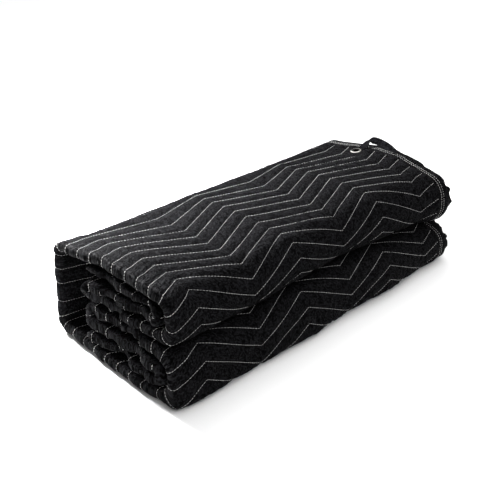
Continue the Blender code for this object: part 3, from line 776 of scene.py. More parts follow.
    def padding_height(
        self, x: np.ndarray, at: np.ndarray, out_depth: np.ndarray, shows: np.ndarray
    ) -> np.ndarray:
        """Work out the padding's height where it is flattened: by the far hem, inside, and at the open end.

        Args:
            x: Places along the bundle, as a column.
            at: Places along the ribbon.
            out_depth: How much the quilting raises each row in depth, as a column.
            shows: How far each place along the ribbon is on the outside of the bundle.

        Returns:
            The height on the grid.
        """
        height = self.padding.height(x, at[None, :], self.ribbon.first)
        hem = LENGTH - self.hem_band
        height *= 1.0 - smooth(x, hem - self.hem_fade, hem)
        height *= np.where(out_depth < 0.0, self.inner_relief / self.padding.relief, 1.0)
        open_end = 1.0 - smooth(x, *self.open_end)
        outside = shows * (1.0 - self.open_end_loss * open_end)
        return height * np.maximum(outside, open_end * self.open_end_inside)

    def fine_rows(self) -> Profile:
        """Lay out the rows that show: the outer hem, the outer face, the near fold and the face inside it.

        The four plies lie at depths 0.75, 0.25, -0.25 and -0.75, and reach 0.25 to each side.

        Returns:
            The rows.
        """
        rows = Profile()
        ply = NOSE / PLIES
        far, near = LENGTH - self.far_rows_reach, self.near_rows_reach
        by_hem, between, by_fold = self.row_counts
        rows.bend(LENGTH - ply, 0.75, ply, 0.25, np.linspace(0.0, math.pi / 2, self.hem_turn)[:-1])
        rows.line(np.linspace(LENGTH - ply, far, by_hem), 1.0, 1.0)
        rows.line(np.linspace(far, near, between)[1:], 1.0, 1.0)
        rows.line(np.linspace(near, NOSE, by_fold)[1:-1], 1.0, 1.0)
        rows.bend(NOSE, 0.0, -NOSE, 1.0, np.linspace(math.pi / 2, -math.pi / 2, self.near_turn))
        rows.line(self.inner_face_rows, -1.0, -1.0)
        return rows

    def coarse_rows(self) -> Profile:
        """Lay out the rows that hardly show: the far fold, the inner fold, both sides of the inner hem.

        The plies' depths are those in fine_rows.

        Returns:
            The rows.
        """
        rows = Profile()
        gap, ply = self.ply_gap / 2, NOSE / PLIES
        turns = [turn for turn in (*ZIGZAG_PEAKS, *ZIGZAG_VALLEYS) if self.near_rows_reach < turn < LENGTH]
        outward = np.array(sorted([*self.hidden_rows, *turns]))
        inward = outward[::-1]
        fold = LENGTH - 2 * ply
        hem = LENGTH - ply
        rows.line(outward[outward > self.inner_face_rows[-1]], -1.0, -1.0, Edge.FAR_FOLD)
        rows.line([fold], -1.0, 0.0, Edge.FAR_FOLD)
        round_fold = np.linspace(-math.pi / 2, math.pi / 2, self.far_fold_turn)[1:-1]
        upward = np.linspace(-math.pi / 2, math.pi / 2, self.hidden_turn)
        near_inner, near_outer = (-NOSE * share for share in self.nested)
        rows.bend(fold, -0.5, 2 * ply, 0.5 - gap, round_fold, Edge.FAR_FOLD)
        rows.line([fold, *inward], -gap, 0.0, Edge.FAR_FOLD)
        rows.line(outward, gap, 0.0, Edge.INNER_HEM)
        rows.bend(hem, 0.25, ply, 0.25 - gap, upward, Edge.INNER_HEM)
        rows.line([LENGTH - self.inner_hem_row, *inward], 0.5 - gap, 0.0, Edge.INNER_HEM)
        rows.bend(NOSE, 0.0, near_inner, 0.5 - gap, upward[::-1])
        rows.line(outward, -0.5 + gap, 0.0, Edge.FAR_FOLD)
        rows.line(inward, -0.5 - gap, 0.0, Edge.FAR_FOLD)
        rows.bend(NOSE, 0.0, near_outer, 0.5 + gap, upward)
        rows.line(outward, 0.5 + gap, 0.0)
        rows.bend(hem, 0.75, ply, 0.25 - gap, upward[: self.hidden_turn // 2])
        return rows

    def build(self, name: str, eyelet: "EyeletSeat") -> bpy.types.Object:
        """Make the skin: fine rows, coarse rows, the two joins between them, and a cap at each side hem.

        Args:
            name: The piece's name.
            eyelet: Where the eyelet sits.

        Returns:
            The piece.
        """
        at, shared = self.columns()
        fine_rows, coarse_rows = self.fine_rows().arrays(), self.coarse_rows().arrays()
        fine = eyelet.press(self.surface(fine_rows, at))
        coarse = self.surface(coarse_rows, at[shared])
        points = np.concatenate([fine.reshape(-1, 3), coarse.reshape(-1, 3)])
        first = np.arange(fine.shape[0] * fine.shape[1]).reshape(fine.shape[:2])
        second = first.size + np.arange(coarse.shape[0] * coarse.shape[1]).reshape(coarse.shape[:2])
        quads = np.concatenate([grid_quads(first), grid_quads(second)])
        joins = np.concatenate(
            [join_rows(first[-1], second[0], shared), join_rows(first[0], second[-1], shared)[:, ::-1]]
        )
        caps = [
            np.concatenate([first[:, 0], second[:, 0]]).tolist(),
            np.concatenate([first[:, -1], second[:, -1]])[::-1].tolist(),
        ]
        made = new_piece(name, points, [*quads.tolist(), *joins.tolist(), *caps])
        make_outward(made.data)
        along = np.concatenate([np.repeat(fine_rows[0], len(at)), np.repeat(coarse_rows[0], len(shared))])
        across = np.concatenate([np.tile(at, len(fine)), np.tile(at[shared], len(coarse))])
        lay_uv(made.data, np.stack([along, across], 1))
        LOG.info("%s: %d points, %d columns", name, len(points), len(at))
        return made

    def dress(self, skin: bpy.types.Object) -> None:
        """Dress the skin in black woven polyester."""
        dress_piece(skin, WovenPolyester().make(), "quilted_cloth")


def grid_quads(index: np.ndarray) -> np.ndarray:
    """Give the quads of a grid of point numbers."""
    return np.stack([index[:-1, :-1], index[:-1, 1:], index[1:, 1:], index[1:, :-1]], -1).reshape(-1, 4)


def join_rows(fine: np.ndarray, coarse: np.ndarray, shared: np.ndarray) -> np.ndarray:
    """Join a fine row of points to a coarse one with triangles that fan out from the coarse points.

    Args:
        fine: Point numbers of the fine row.
        coarse: Point numbers of the coarse row.
        shared: Which fine points stand opposite the coarse ones.

    Returns:
        The triangles: the first half of each coarse step fans from its start, the rest from its end.
    """
    step = np.arange(len(fine) - 1)
    cell = np.clip(np.searchsorted(shared, step, side="right") - 1, 0, len(coarse) - 2)
    half = (shared[cell] + shared[cell + 1]) // 2
    tip = np.where(step < half, coarse[cell], coarse[cell + 1])
    fans = np.stack([fine[:-1], fine[1:], tip], 1)
    middle = fine[(shared[:-1] + shared[1:]) // 2]
    return np.concatenate([fans, np.stack([middle, coarse[1:], coarse[:-1]], 1)])


def new_piece(name: str, points: np.ndarray, faces: list[list[int]]) -> bpy.types.Object:
    """Make a smooth-shaded mesh object.

    Args:
        name: The object's and the mesh's name.
        points: Its points, one to a row.
        faces: The point numbers of each face.

    Returns:
        The object.
    """
    mesh = bpy.data.meshes.new(name)
    mesh.from_pydata(points.tolist(), [], faces)
    mesh.update()
    mesh.shade_smooth()
    made = bpy.data.objects.new(name, mesh)
    bpy.context.scene.collection.objects.link(made)
    return made


def make_outward(mesh: bpy.types.Mesh) -> None:
    """Turn a closed mesh's faces outwards, if the sum of its triangles' a . (b x c) is negative.

    Args:
        mesh: The mesh.
    """
    mesh.calc_loop_triangles()
    index = np.empty(len(mesh.loop_triangles) * 3, np.int32)
    mesh.loop_triangles.foreach_get("vertices", index)
    points = np.empty(len(mesh.vertices) * 3)
    mesh.vertices.foreach_get("co", points)
    a, b, c = np.moveaxis(points.reshape(-1, 3)[index.reshape(-1, 3)], 1, 0)
    if float(np.einsum("ij,ij->", a, np.cross(b, c))) < 0.0:
        mesh.flip_normals()


def lay_uv(mesh: bpy.types.Mesh, places: np.ndarray) -> None:
    """Give a mesh a UV map of places on the flat cloth.

    Args:
        mesh: The mesh.
        places: The place of each point in metres.
    """
    layer = mesh.uv_layers.new(name="cloth")
    index = np.empty(len(mesh.loops), np.int32)
    mesh.loops.foreach_get("vertex_index", index)
    layer.data.foreach_set("uv", places[index].astype(np.float32).ravel())


@dataclass
class EyeletSeat:
    """Where the eyelet sits on the cloth, read from its CAD node."""

    node: bpy.types.Object
    rim_radius: float = 0.0100
    rim_height: float = 0.0019
    pit: tuple[float, float] = (0.0062, 0.0092)
    pit_depth: float = 0.0046
    flat: tuple[float, float] = (0.0110, 0.0230)
    ply_reach: float = 0.008

    def __post_init__(self) -> None:
        """Find the eyelet's middle, its axis and the level of the cloth under its rim."""
        points = np.array([vert.co for vert in self.node.data.vertices])
        self.middle = (points.min(0) + points.max(0)) / 2.0
        _, _, directions = np.linalg.svd(points - points.mean(0), full_matrices=False)
        self.axis = directions[2] * math.copysign(1.0, directions[2, 2])
        self.level = float(((points - self.middle) @ self.axis).max()) - self.rim_height

    def press(self, points: np.ndarray) -> np.ndarray:
        """Press the cloth flat round the eyelet, and down into a pit below its hole.

        Args:
            points: The cloth's points.

        Returns:
            The points, with those near the eyelet moved along its axis.
        """
        away = points - self.middle
        height = away @ self.axis
        radius = np.linalg.norm(away - height[..., None] * self.axis, axis=-1)
        near = (1.0 - smooth(radius, *self.flat)) * (np.abs(height - self.level) < self.ply_reach)
        pit = self.pit_depth * (1.0 - smooth(radius, *self.pit))
        wanted = (self.level - height) * near - pit * (near > 0.0)
        return points + wanted[..., None] * self.axis

    def dress(self) -> None:
        """Give the CAD's own eyelet its nickel plating."""
        nickel = PlatedNickel(self).make()
        LOG.info("eyelet: %s", nickel.name)
        set_material(self.node, nickel)


@dataclass(frozen=True)
class Stitches:
    """Thread on the cloth: each stitch is a short bead with three rings, sunk at both ends."""

    thread: float = 0.00058
    pitch: float = 0.0046
    length: float = 0.0035
    sides: int = 5
    sink: float = 0.00002
    rise: float = 0.6
    tip: float = 0.55

    def along(self, paths: np.ndarray, lifts: np.ndarray) -> tuple[np.ndarray, np.ndarray]:
        """Set stitches at an even pitch along some paths.

        Args:
            paths: Points of each path, one path to a row.
            lifts: The direction away from the cloth at each point.

        Returns:
            The starts, middles and ends of the stitches, and the direction away from the cloth at each.
        """
        ends, ups = [], []
        for points, lift in zip(paths, lifts):
            walked = np.concatenate([[0.0], np.cumsum(np.linalg.norm(np.diff(points, axis=0), axis=1))])
            starts = np.arange(self.pitch, walked[-1] - self.length, self.pitch)
            marks = starts[:, None] + np.array([0.0, 0.5, 1.0]) * self.length
            ends.append(np.stack([np.interp(marks, walked, points[:, axis]) for axis in range(3)], -1))
            ups.append(np.stack([np.interp(marks, walked, lift[:, axis]) for axis in range(3)], -1))
        return np.concatenate(ends), np.concatenate(ups)

    def build(self, name: str, marks: np.ndarray, ups: np.ndarray) -> bpy.types.Object:
        """Make the beads: a ring of points at the start, middle and end of each stitch.

        Args:
            name: The piece's name.
            marks: Start, middle and end of each stitch.
            ups: The direction away from the cloth there.

        Returns:
            The piece.
        """
        count, sides = len(marks), self.sides
        ahead = marks[:, 2] - marks[:, 0]
        ahead /= np.linalg.norm(ahead, axis=1, keepdims=True)
        up = ups / np.linalg.norm(ups, axis=2, keepdims=True)
        side = np.cross(ahead[:, None, :], up)
        side /= np.linalg.norm(side, axis=2, keepdims=True)
        angle = np.arange(sides) * 2.0 * math.pi / sides
        radius = self.thread / 2.0 * np.array([self.tip, 1.0, self.tip])
        rises = np.array([-self.sink, self.thread * self.rise, -self.sink])
        middle = marks + up * rises[None, :, None]
        ring = np.cos(angle)[:, None] * side[:, :, None, :] + np.sin(angle)[:, None] * up[:, :, None, :]
        points = middle[:, :, None, :] + ring * radius[None, :, None, None]
        index = np.arange(count * 3 * sides).reshape(count, 3, sides)
        turned = np.roll(index, -1, axis=2)
        quads = np.stack([index[:, :-1], turned[:, :-1], turned[:, 1:], index[:, 1:]], -1).reshape(-1, 4)
        caps = np.concatenate([index[:, 0, ::-1], index[:, 2]])
        made = new_piece(name, points.reshape(-1, 3), [*quads.tolist(), *caps.tolist()])
        make_outward(made.data)
        LOG.info("%s: %d stitches", name, count)
        return made


@dataclass
class Stitching:
    """The lines of thread on the cloth: zigzag rows on every layer, and double rows along the hem."""

    cloth: QuiltedCloth
    hem_rows: tuple[float, float] = (0.0120, 0.0166)
    hem_stitches: Stitches = Stitches(thread=0.00045, pitch=0.0042, length=0.0027)
    hem_step: float = 0.0015
    past_front: float = 0.05
    row_end: float = 0.0186
    row_points: int = 400
    inside_wall: float = 0.100
    eyelet_margin: float = 0.001
    fold_stitches: Stitches = Stitches(thread=0.00044)
    fold_from: float = 0.035
    fold_points: int = 24
    fold_inside: float = 0.03
    side_margin: float = 0.012
    first_lower: float = 1.4
    hidden_waves: Waves = Waves(51, 8, 0.050, 0.012)
    buried: float = -0.05
    turn_points: int = 24
    inner_points: int = 8
    inner_step: float = 0.002
    lift: float = 0.004

    def zigzags(self, eyelet: EyeletSeat) -> bpy.types.Object:
        """Sew the rows that show from the hem, over the near fold and a little way in.

        Args:
            eyelet: Where the eyelet sits, which the stitches stop short of.

        Returns:
            The piece.
        """
        ribbon = self.cloth.ribbon
        count = math.ceil((ribbon.last - ribbon.first) / ROW_PITCH)
        rows = ribbon.first + ROW_PITCH * np.arange(-1, count + 1)
        outer = np.linspace(LENGTH - self.row_end, NOSE, self.row_points)
        marks, ups = self.sew(outer, self.inside_wall, rows)
        far = np.linalg.norm(marks[:, 1] - eyelet.middle, axis=1) > eyelet.rim_radius + self.eyelet_margin
        return Stitches().build("quilting_thread", marks[far], ups[far])

    def fold_ends(self) -> bpy.types.Object:
        """Sew the ends of the rows of the layers inside, where they come round the near fold.

        Creases hide some of these stitches, so those are left out.

        Returns:
            The piece.
        """
        ribbon = self.cloth.ribbon
        low = np.arange(ribbon.first - 2 * ROW_PITCH, self.side_margin, -ROW_PITCH)
        start, end = ribbon.last + self.first_lower * ROW_PITCH, ribbon.total - self.side_margin
        high = np.arange(start, end, ROW_PITCH)
        rows = np.concatenate([low, ribbon.first + ROW_PITCH * np.round((high - ribbon.first) / ROW_PITCH)])
        marks, ups = self.sew(np.linspace(self.fold_from, NOSE, self.fold_points), self.fold_inside, rows)
        shows = self.hidden_waves.read(marks[:, 1, 1], marks[:, 1, 2]) > self.buried
        return self.fold_stitches.build("inner_fold_thread", marks[shows], ups[shows])

    def sew(self, outer: np.ndarray, inside: float, rows: np.ndarray) -> tuple[np.ndarray, np.ndarray]:
        """Lead rows along the outer face, round the near fold and along the inner face.

        Args:
            outer: Places along the bundle on the outer face, towards the near end.
            inside: How far in the rows go on the inner face.
            rows: Their places along the ribbon.

        Returns:
            What Stitches.along gives.
        """
        turn = np.linspace(math.pi / 2, -math.pi / 2, self.turn_points + 2)[1:-1]
        inner = np.linspace(NOSE, inside, max(self.inner_points, round(inside / self.inner_step)))
        route = Profile()
        route.line(outer, 1.0, 1.0)
        route.bend(NOSE, 0.0, -NOSE, 1.0, turn)
        route.line(inner, -1.0, -1.0)
        arrays = route.arrays()
        points = self.cloth.surface(arrays, rows)
        away = self.cloth.surface(self.lifted(arrays), rows) - points
        return Stitches().along(points.transpose(1, 0, 2), away.transpose(1, 0, 2))

    def lifted(self, arrays: tuple[np.ndarray, ...]) -> tuple[np.ndarray, ...]:
        """Give the same rows a little way off the cloth, by moving their depth and their reach.

        Args:
            arrays: The rows' x, depth, out_x, out_depth and edge.

        Returns:
            The same arrays, moved.
        """
        x, depth, out_x, out_depth, edge = arrays
        return x + self.lift * out_x, depth + self.lift * out_depth / NOSE, out_x, out_depth, edge

    def hems(self) -> bpy.types.Object:
        """Sew the double rows that follow the hem's edge.

        Returns:
            The piece.
        """
        ribbon = self.cloth.ribbon
        at = np.arange(ribbon.first - self.past_front, ribbon.last + self.past_front, self.hem_step)
        route = Profile()
        route.line(LENGTH - np.array(self.hem_rows), 1.0, 1.0)
        points = self.cloth.surface(route.arrays(), at)
        away = self.cloth.surface(self.lifted(route.arrays()), at) - points
        return self.hem_stitches.build("hem_thread", *self.hem_stitches.along(points, away))

    def dress(self, rows: bpy.types.Object, ends: bpy.types.Object, hems: bpy.types.Object) -> None:
        """Dress all the stitches in the same white thread.

        Args:
            rows: The zigzag rows.
            ends: The ends of the rows inside.
            hems: The double rows by the hem.
        """
        thread = SpunThread().make()
        for piece, slot in ((rows, "quilted_cloth"), (ends, "quilted_cloth"), (hems, "hem_cloth")):
            dress_piece(piece, thread, slot)


@dataclass
class TapeLoop:
    """The short webbing loop that is sewn to the hem beside the eyelet: a flat tape along a lopsided arch.

    Each knot of its route is a distance in from the hem, a place across the bundle and a rise.
    """

    width: float = 0.013
    thickness: float = 0.0018
    run: float = 0.09
    clearance: float = 0.0009
    steps: int = 96
    around: int = 20
    flatness: tuple[float, float] = (0.5, 0.7)
    rounding: int = 9
    curl: float = 0.0009
    lean: float = 0.95
    leaning: tuple[float, ...] = (0.26, 0.42, 0.58, 0.92)
    turning: tuple[float, float] = (0.14, 0.42)
    knots: tuple[tuple[float, ...], ...] = (
        (0.0255, 0.179, 0.0000),
        (0.0200, 0.177, 0.0030),
        (0.0115, 0.175, 0.0100),
        (0.0075, 0.167, 0.0105),
        (0.0060, 0.152, 0.0065),
        (0.0062, 0.136, 0.0035),
        (0.0068, 0.124, 0.0008),
        (0.0075, 0.114, 0.0000),
    )

    def route(self, cloth: QuiltedCloth) -> np.ndarray:
        """Work out the tape's middle line: the rounded knots, set on the top face by the hem.

        Args:
            cloth: The cloth that it is sewn to.

        Returns:
            The points of the line.
        """
        ribbon = cloth.ribbon
        knots = np.array(self.knots)
        share = np.linspace(0.0, 1.0, self.steps + 1)
        marks = np.linspace(0.0, 1.0, len(knots))
        from_hem, y, rise = (self.eased(share, marks, knots[:, column]) for column in range(3))
        x = LENGTH + self.hem_offset(ribbon, y) - from_hem
        row = {name: value[:, 0] for name, value in ribbon.section(x[:, None]).items()}
        top = ribbon.place(row, y, np.full_like(y, float(LAYERS)), x)[:, 1]
        return np.stack([x, y, top + rise + self.thickness / 2 + self.clearance], 1) - np.array(cloth.origin)

    def eased(self, share: np.ndarray, marks: np.ndarray, values: np.ndarray) -> np.ndarray:
        """Read a curve through evenly spaced values, rounded by averaging it over half a step to each side.

        Args:
            share: Where it is read.
            marks: Where the values stand.
            values: The values.

        Returns:
            The curve's values.
        """
        reach = np.linspace(-0.5, 0.5, self.rounding) * (marks[1] - marks[0])
        ends = np.minimum(share, 1.0 - share)[:, None]
        window = np.clip(reach[None, :], -ends, ends)
        return np.interp(share[:, None] + window, marks, values).mean(1)

    def hem_offset(self, ribbon: Ribbon, y: np.ndarray) -> np.ndarray:
        """Give how far the hem's edge stands out on the top face.

        Args:
            ribbon: The ribbon.
            y: Places across the bundle.

        Returns:
            The offsets along the bundle.
        """
        corner = SPINE_Y - SPINE_RADIUS
        front = SECTIONS[-1][SECTION_FIELDS.index("upper")]
        share = (y - (front + FOLD_RADIUS)) / (corner - FOLD_RADIUS)
        top, end = ribbon.start("top"), ribbon.start("spine_top")
        return ribbon.end_offset(top + (end - top) * share, FAR_END)

    def build(self, cloth: QuiltedCloth) -> bpy.types.Object:
        """Sweep the tape's section, a flat superellipse, along the route; its free arch leans and curls.

        Args:
            cloth: The cloth that it is sewn to.

        Returns:
            The piece.
        """
        points = self.route(cloth)
        ahead = np.gradient(points, axis=0)
        ahead /= np.linalg.norm(ahead, axis=1, keepdims=True)
        angle = np.linspace(0.0, 2.0 * math.pi, self.around + 1)[:-1]
        wide, high = (
            np.sign(turn) * np.abs(turn) ** power * size / 2
            for turn, power, size in zip(
                (np.cos(angle), np.sin(angle)), self.flatness, (self.width, self.thickness)
            )
        )
        share = np.linspace(0.0, 1.0, len(points))
        first, full, still, last = self.leaning
        free = smooth(share, first, full) * (1.0 - smooth(share, still, last))
        level = high[None, :] - (self.curl * free)[:, None] * (wide / (self.width / 2)) ** 2
        lean = self.lean * free
        turn = smooth(share, *self.turning)
        across = np.stack([turn * np.cos(lean), 1.0 - turn, turn * np.sin(lean)], 1)
        across -= ahead * np.einsum("ij,ij->i", across, ahead)[:, None]
        across /= np.linalg.norm(across, axis=1, keepdims=True)
        facing = np.cross(ahead, across)
        sideways = across[:, None, :] * wide[None, :, None]
        grid = points[:, None, :] + sideways + facing[:, None, :] * level[..., None]
        index = np.arange(grid.shape[0] * grid.shape[1]).reshape(grid.shape[:2])
        closed = np.concatenate([index, index[:, :1]], 1)
        caps = [index[0].tolist(), index[-1][::-1].tolist()]
        made = new_piece("webbing_loop", grid.reshape(-1, 3), [*grid_quads(closed).tolist(), *caps])
        make_outward(made.data)
        lay_uv(made.data, np.stack([np.repeat(share * self.run, len(wide)), np.tile(wide, len(points))], 1))
        LOG.info("webbing_loop: %d points", len(made.data.vertices))
        return made

    def dress(self, loop: bpy.types.Object) -> None:
        """Dress the tape in woven polyester of a slightly finer yarn, with hardly a crease.

        Args:
            loop: The tape.
        """
        webbing = WovenPolyester(
            name="woven_polyester_tape", pale="#1b1b1e", yarn_mm=1.6, crease_depth_mm=0.1
        )
        dress_piece(loop, webbing.make(), "loop_tape")


def linear(colour: str) -> tuple[float, float, float, float]:
    """Turn an sRGB hex colour into linear red, green, blue and alpha."""
    parts = [int(colour[index : index + 2], 16) / 255.0 for index in (1, 3, 5)]
    return (*(p / 12.92 if p <= 0.04045 else ((p + 0.055) / 1.055) ** 2.4 for p in parts), 1.0)


def wire(tree: bpy.types.NodeTree, node: bpy.types.Node, links: dict[str, object]) -> None:
    """Set a node's inputs.

    Args:
        tree: The material's nodes.
        node: The node.
        links: For each input, by its name or by # and its number, a value or the output that it is linked to.
    """
    for name, value in links.items():
        socket = node.inputs[int(name[1:])] if name.startswith("#") else node.inputs[name]
        if isinstance(value, bpy.types.NodeSocket):
            tree.links.new(value, socket)
        else:
            socket.default_value = value


def add(tree: bpy.types.NodeTree, kind: str, links: dict[str, object], **settings: object) -> bpy.types.Node:
    """Add a node.

    Args:
        tree: The material's nodes.
        kind: The node's type.
        links: Its inputs, as in wire.
        settings: Its properties.

    Returns:
        The node.
    """
    node = tree.nodes.new(kind)
    for name, value in settings.items():
        setattr(node, name, value)
    wire(tree, node, links)
    return node


def start_material(name: str) -> tuple[bpy.types.Material, bpy.types.NodeTree, bpy.types.Node]:
    """Make a material with nodes.

    Args:
        name: Its name.

    Returns:
        The material, its node tree and its shader.
    """
    material = bpy.data.materials.new(name)
    material.use_nodes = True
    return material, material.node_tree, material.node_tree.nodes["Principled BSDF"]


def set_stops(ramp: bpy.types.Node, *stops: tuple[float, str]) -> None:
    """Give a colour ramp its stops.

    Args:
        ramp: The ramp's node.
        stops: The position and sRGB hex colour of each stop, in order.
    """
    elements = ramp.color_ramp.elements
    for element, (position, colour) in zip(elements, (stops[0], stops[-1])):
        element.position = position
        element.color = linear(colour)
    for position, colour in stops[1:-1]:
        elements.new(position).color = linear(colour)


@dataclass(frozen=True)
class WovenPolyester:
    """Black woven polyester over batting, sewn: matt, with a soft grey sheen and a speckle of paler yarn.

    The yarns are drawn about three times as coarse as the real ones, which are too fine to show.
    """

    name: str = "woven_polyester_face"
    dark: str = "#040404"
    pale: str = "#1b1b1d"
    stops: tuple[float, float] = (0.38, 0.82)
    roughness: float = 0.62
    gloss: float = 0.020
    glint: tuple[float, float] = (0.35, 0.75)
    sheen: float = 0.003
    sheen_roughness: float = 0.45
    yarn_mm: float = 1.7
    yarn_depth_mm: float = 0.7
    yarn_share: float = 0.55
    soft_share: float = 0.4
    soft_scale: float = 0.9
    rubbed_mm: float = 45.455
    rubbed_share: float = 0.10
    creases_mm: tuple[tuple[float, float], ...] = ((8.3333, 45.455), (38.462, 5.2632))
    crease_depth_mm: float = 4.0
    crease_turn: tuple[float, float] = (0.015, 0.060)

    def make(self) -> bpy.types.Material:
        """Build the material: yarns that show at random, rubbed patches, and creases too fine to model.

        Returns:
            The material.
        """
        material, tree, shader = start_material(self.name)
        place = add(tree, "ShaderNodeUVMap", {}, uv_map="cloth").outputs["UV"]
        weave = self.weave(tree, place)
        rubbed = add(
            tree, "ShaderNodeTexNoise",
            {"Vector": place, "Scale": 1000.0 / self.rubbed_mm, "Detail": 4.0, "Roughness": 0.6},
        )
        worn = add(
            tree, "ShaderNodeMath",
            {"#0": rubbed.outputs["Fac"], "#1": self.rubbed_share, "#2": weave}, operation="MULTIPLY_ADD",
        )
        ramp = add(tree, "ShaderNodeValToRGB", {"Fac": worn.outputs[0]})
        set_stops(ramp, (self.stops[0], self.dark), (self.stops[1], self.pale))
        creased = add(
            tree, "ShaderNodeBump",
            {"Height": self.creases(tree, place), "Strength": 0.8, "Distance": self.crease_depth_mm / 1000.0},
        )
        woven = add(
            tree, "ShaderNodeBump",
            {
                "Height": weave, "Strength": 0.7, "Distance": self.yarn_depth_mm / 1000.0,
                "Normal": creased.outputs["Normal"],
            },
        )
        glint = add(
            tree, "ShaderNodeMapRange",
            {"Value": weave, "From Min": self.glint[0], "From Max": self.glint[1], "To Max": self.gloss},
        )
        wire(tree, shader, {
            "Base Color": ramp.outputs["Color"],
            "Normal": woven.outputs["Normal"],
            "Specular IOR Level": glint.outputs[0],
            "Roughness": self.roughness,
            "Sheen Weight": self.sheen,
            "Sheen Roughness": self.sheen_roughness,
        })
        return material

    def weave(self, tree: bpy.types.NodeTree, place: bpy.types.NodeSocket) -> bpy.types.NodeSocket:
        """Draw the yarns, each of its own random height, with softer noise over them.

        Args:
            tree: The material's nodes.
            place: The place on the flat cloth.

        Returns:
            The height, about 0.1 to 0.85.
        """
        scale = 1000.0 / self.yarn_mm
        cells = add(tree, "ShaderNodeTexVoronoi", {"Vector": place, "Scale": scale})
        yarn = add(tree, "ShaderNodeSeparateColor", {"Color": cells.outputs["Color"]})
        softer = scale * self.soft_scale
        soft = add(tree, "ShaderNodeTexNoise", {"Vector": place, "Scale": softer, "Detail": 2.0})
        part = add(
            tree, "ShaderNodeMath", {"#0": soft.outputs["Fac"], "#1": self.soft_share}, operation="MULTIPLY"
        )
        return add(
            tree, "ShaderNodeMath",
            {"#0": yarn.outputs["Red"], "#1": self.yarn_share, "#2": part.outputs[0]},
            operation="MULTIPLY_ADD",
        ).outputs[0]

    def creases(self, tree: bpy.types.NodeTree, place: bpy.types.NodeSocket) -> bpy.types.NodeSocket:
        """Draw fine creases: across the quilted channels, and along the bundle round the near folds.

        Args:
            tree: The material's nodes.
            place: The place on the flat cloth.

        Returns:
            The height, 0 to 1.
        """
        drawn = []
        for length, width in self.creases_mm:
            stretch = (1000.0 / length, 1000.0 / width, 1.0)
            pulled = add(tree, "ShaderNodeVectorMath", {"#0": place, "#1": stretch}, operation="MULTIPLY")
            pulled = pulled.outputs[0]
            noise = add(tree, "ShaderNodeTexNoise", {"Vector": pulled, "Scale": 1.0, "Detail": 3.0})
            drawn.append(noise.outputs["Fac"])
        along = add(tree, "ShaderNodeSeparateXYZ", {"Vector": place})
        near, far = self.crease_turn
        inner = add(
            tree, "ShaderNodeMapRange", {"Value": along.outputs["X"], "From Min": near, "From Max": far}
        )
        across, round_folds = drawn
        return add(
            tree, "ShaderNodeMix", {"Factor": inner.outputs[0], "#2": round_folds, "#3": across}
        ).outputs[0]


@dataclass(frozen=True)
class SpunThread:
    """Bright white spun polyester thread: slightly fuzzy, greyer in patches a few stitches long."""

    name: str = "spun_polyester_thread"
    dark: str = "#7c7c7e"
    pale: str = "#dededc"
    stops: tuple[float, float] = (0.25, 0.55)
    shade_mm: float = 5.5556
    roughness: float = 0.7
    fuzz: float = 0.3

    def make(self) -> bpy.types.Material:
        """Build the material: noise a few stitches long between the two shades.

        Returns:
            The material.
        """
        material, tree, shader = start_material(self.name)
        place = add(tree, "ShaderNodeTexCoord", {}).outputs["Object"]
        scale = 1000.0 / self.shade_mm
        shade = add(tree, "ShaderNodeTexNoise", {"Vector": place, "Scale": scale, "Detail": 2.0})
        ramp = add(tree, "ShaderNodeValToRGB", {"Fac": shade.outputs["Fac"]})
        set_stops(ramp, (self.stops[0], self.dark), (self.stops[1], self.pale))
        wire(tree, shader, {
            "Base Color": ramp.outputs["Color"],
            "Roughness": self.roughness,
            "Sheen Weight": self.fuzz,
        })
        return material


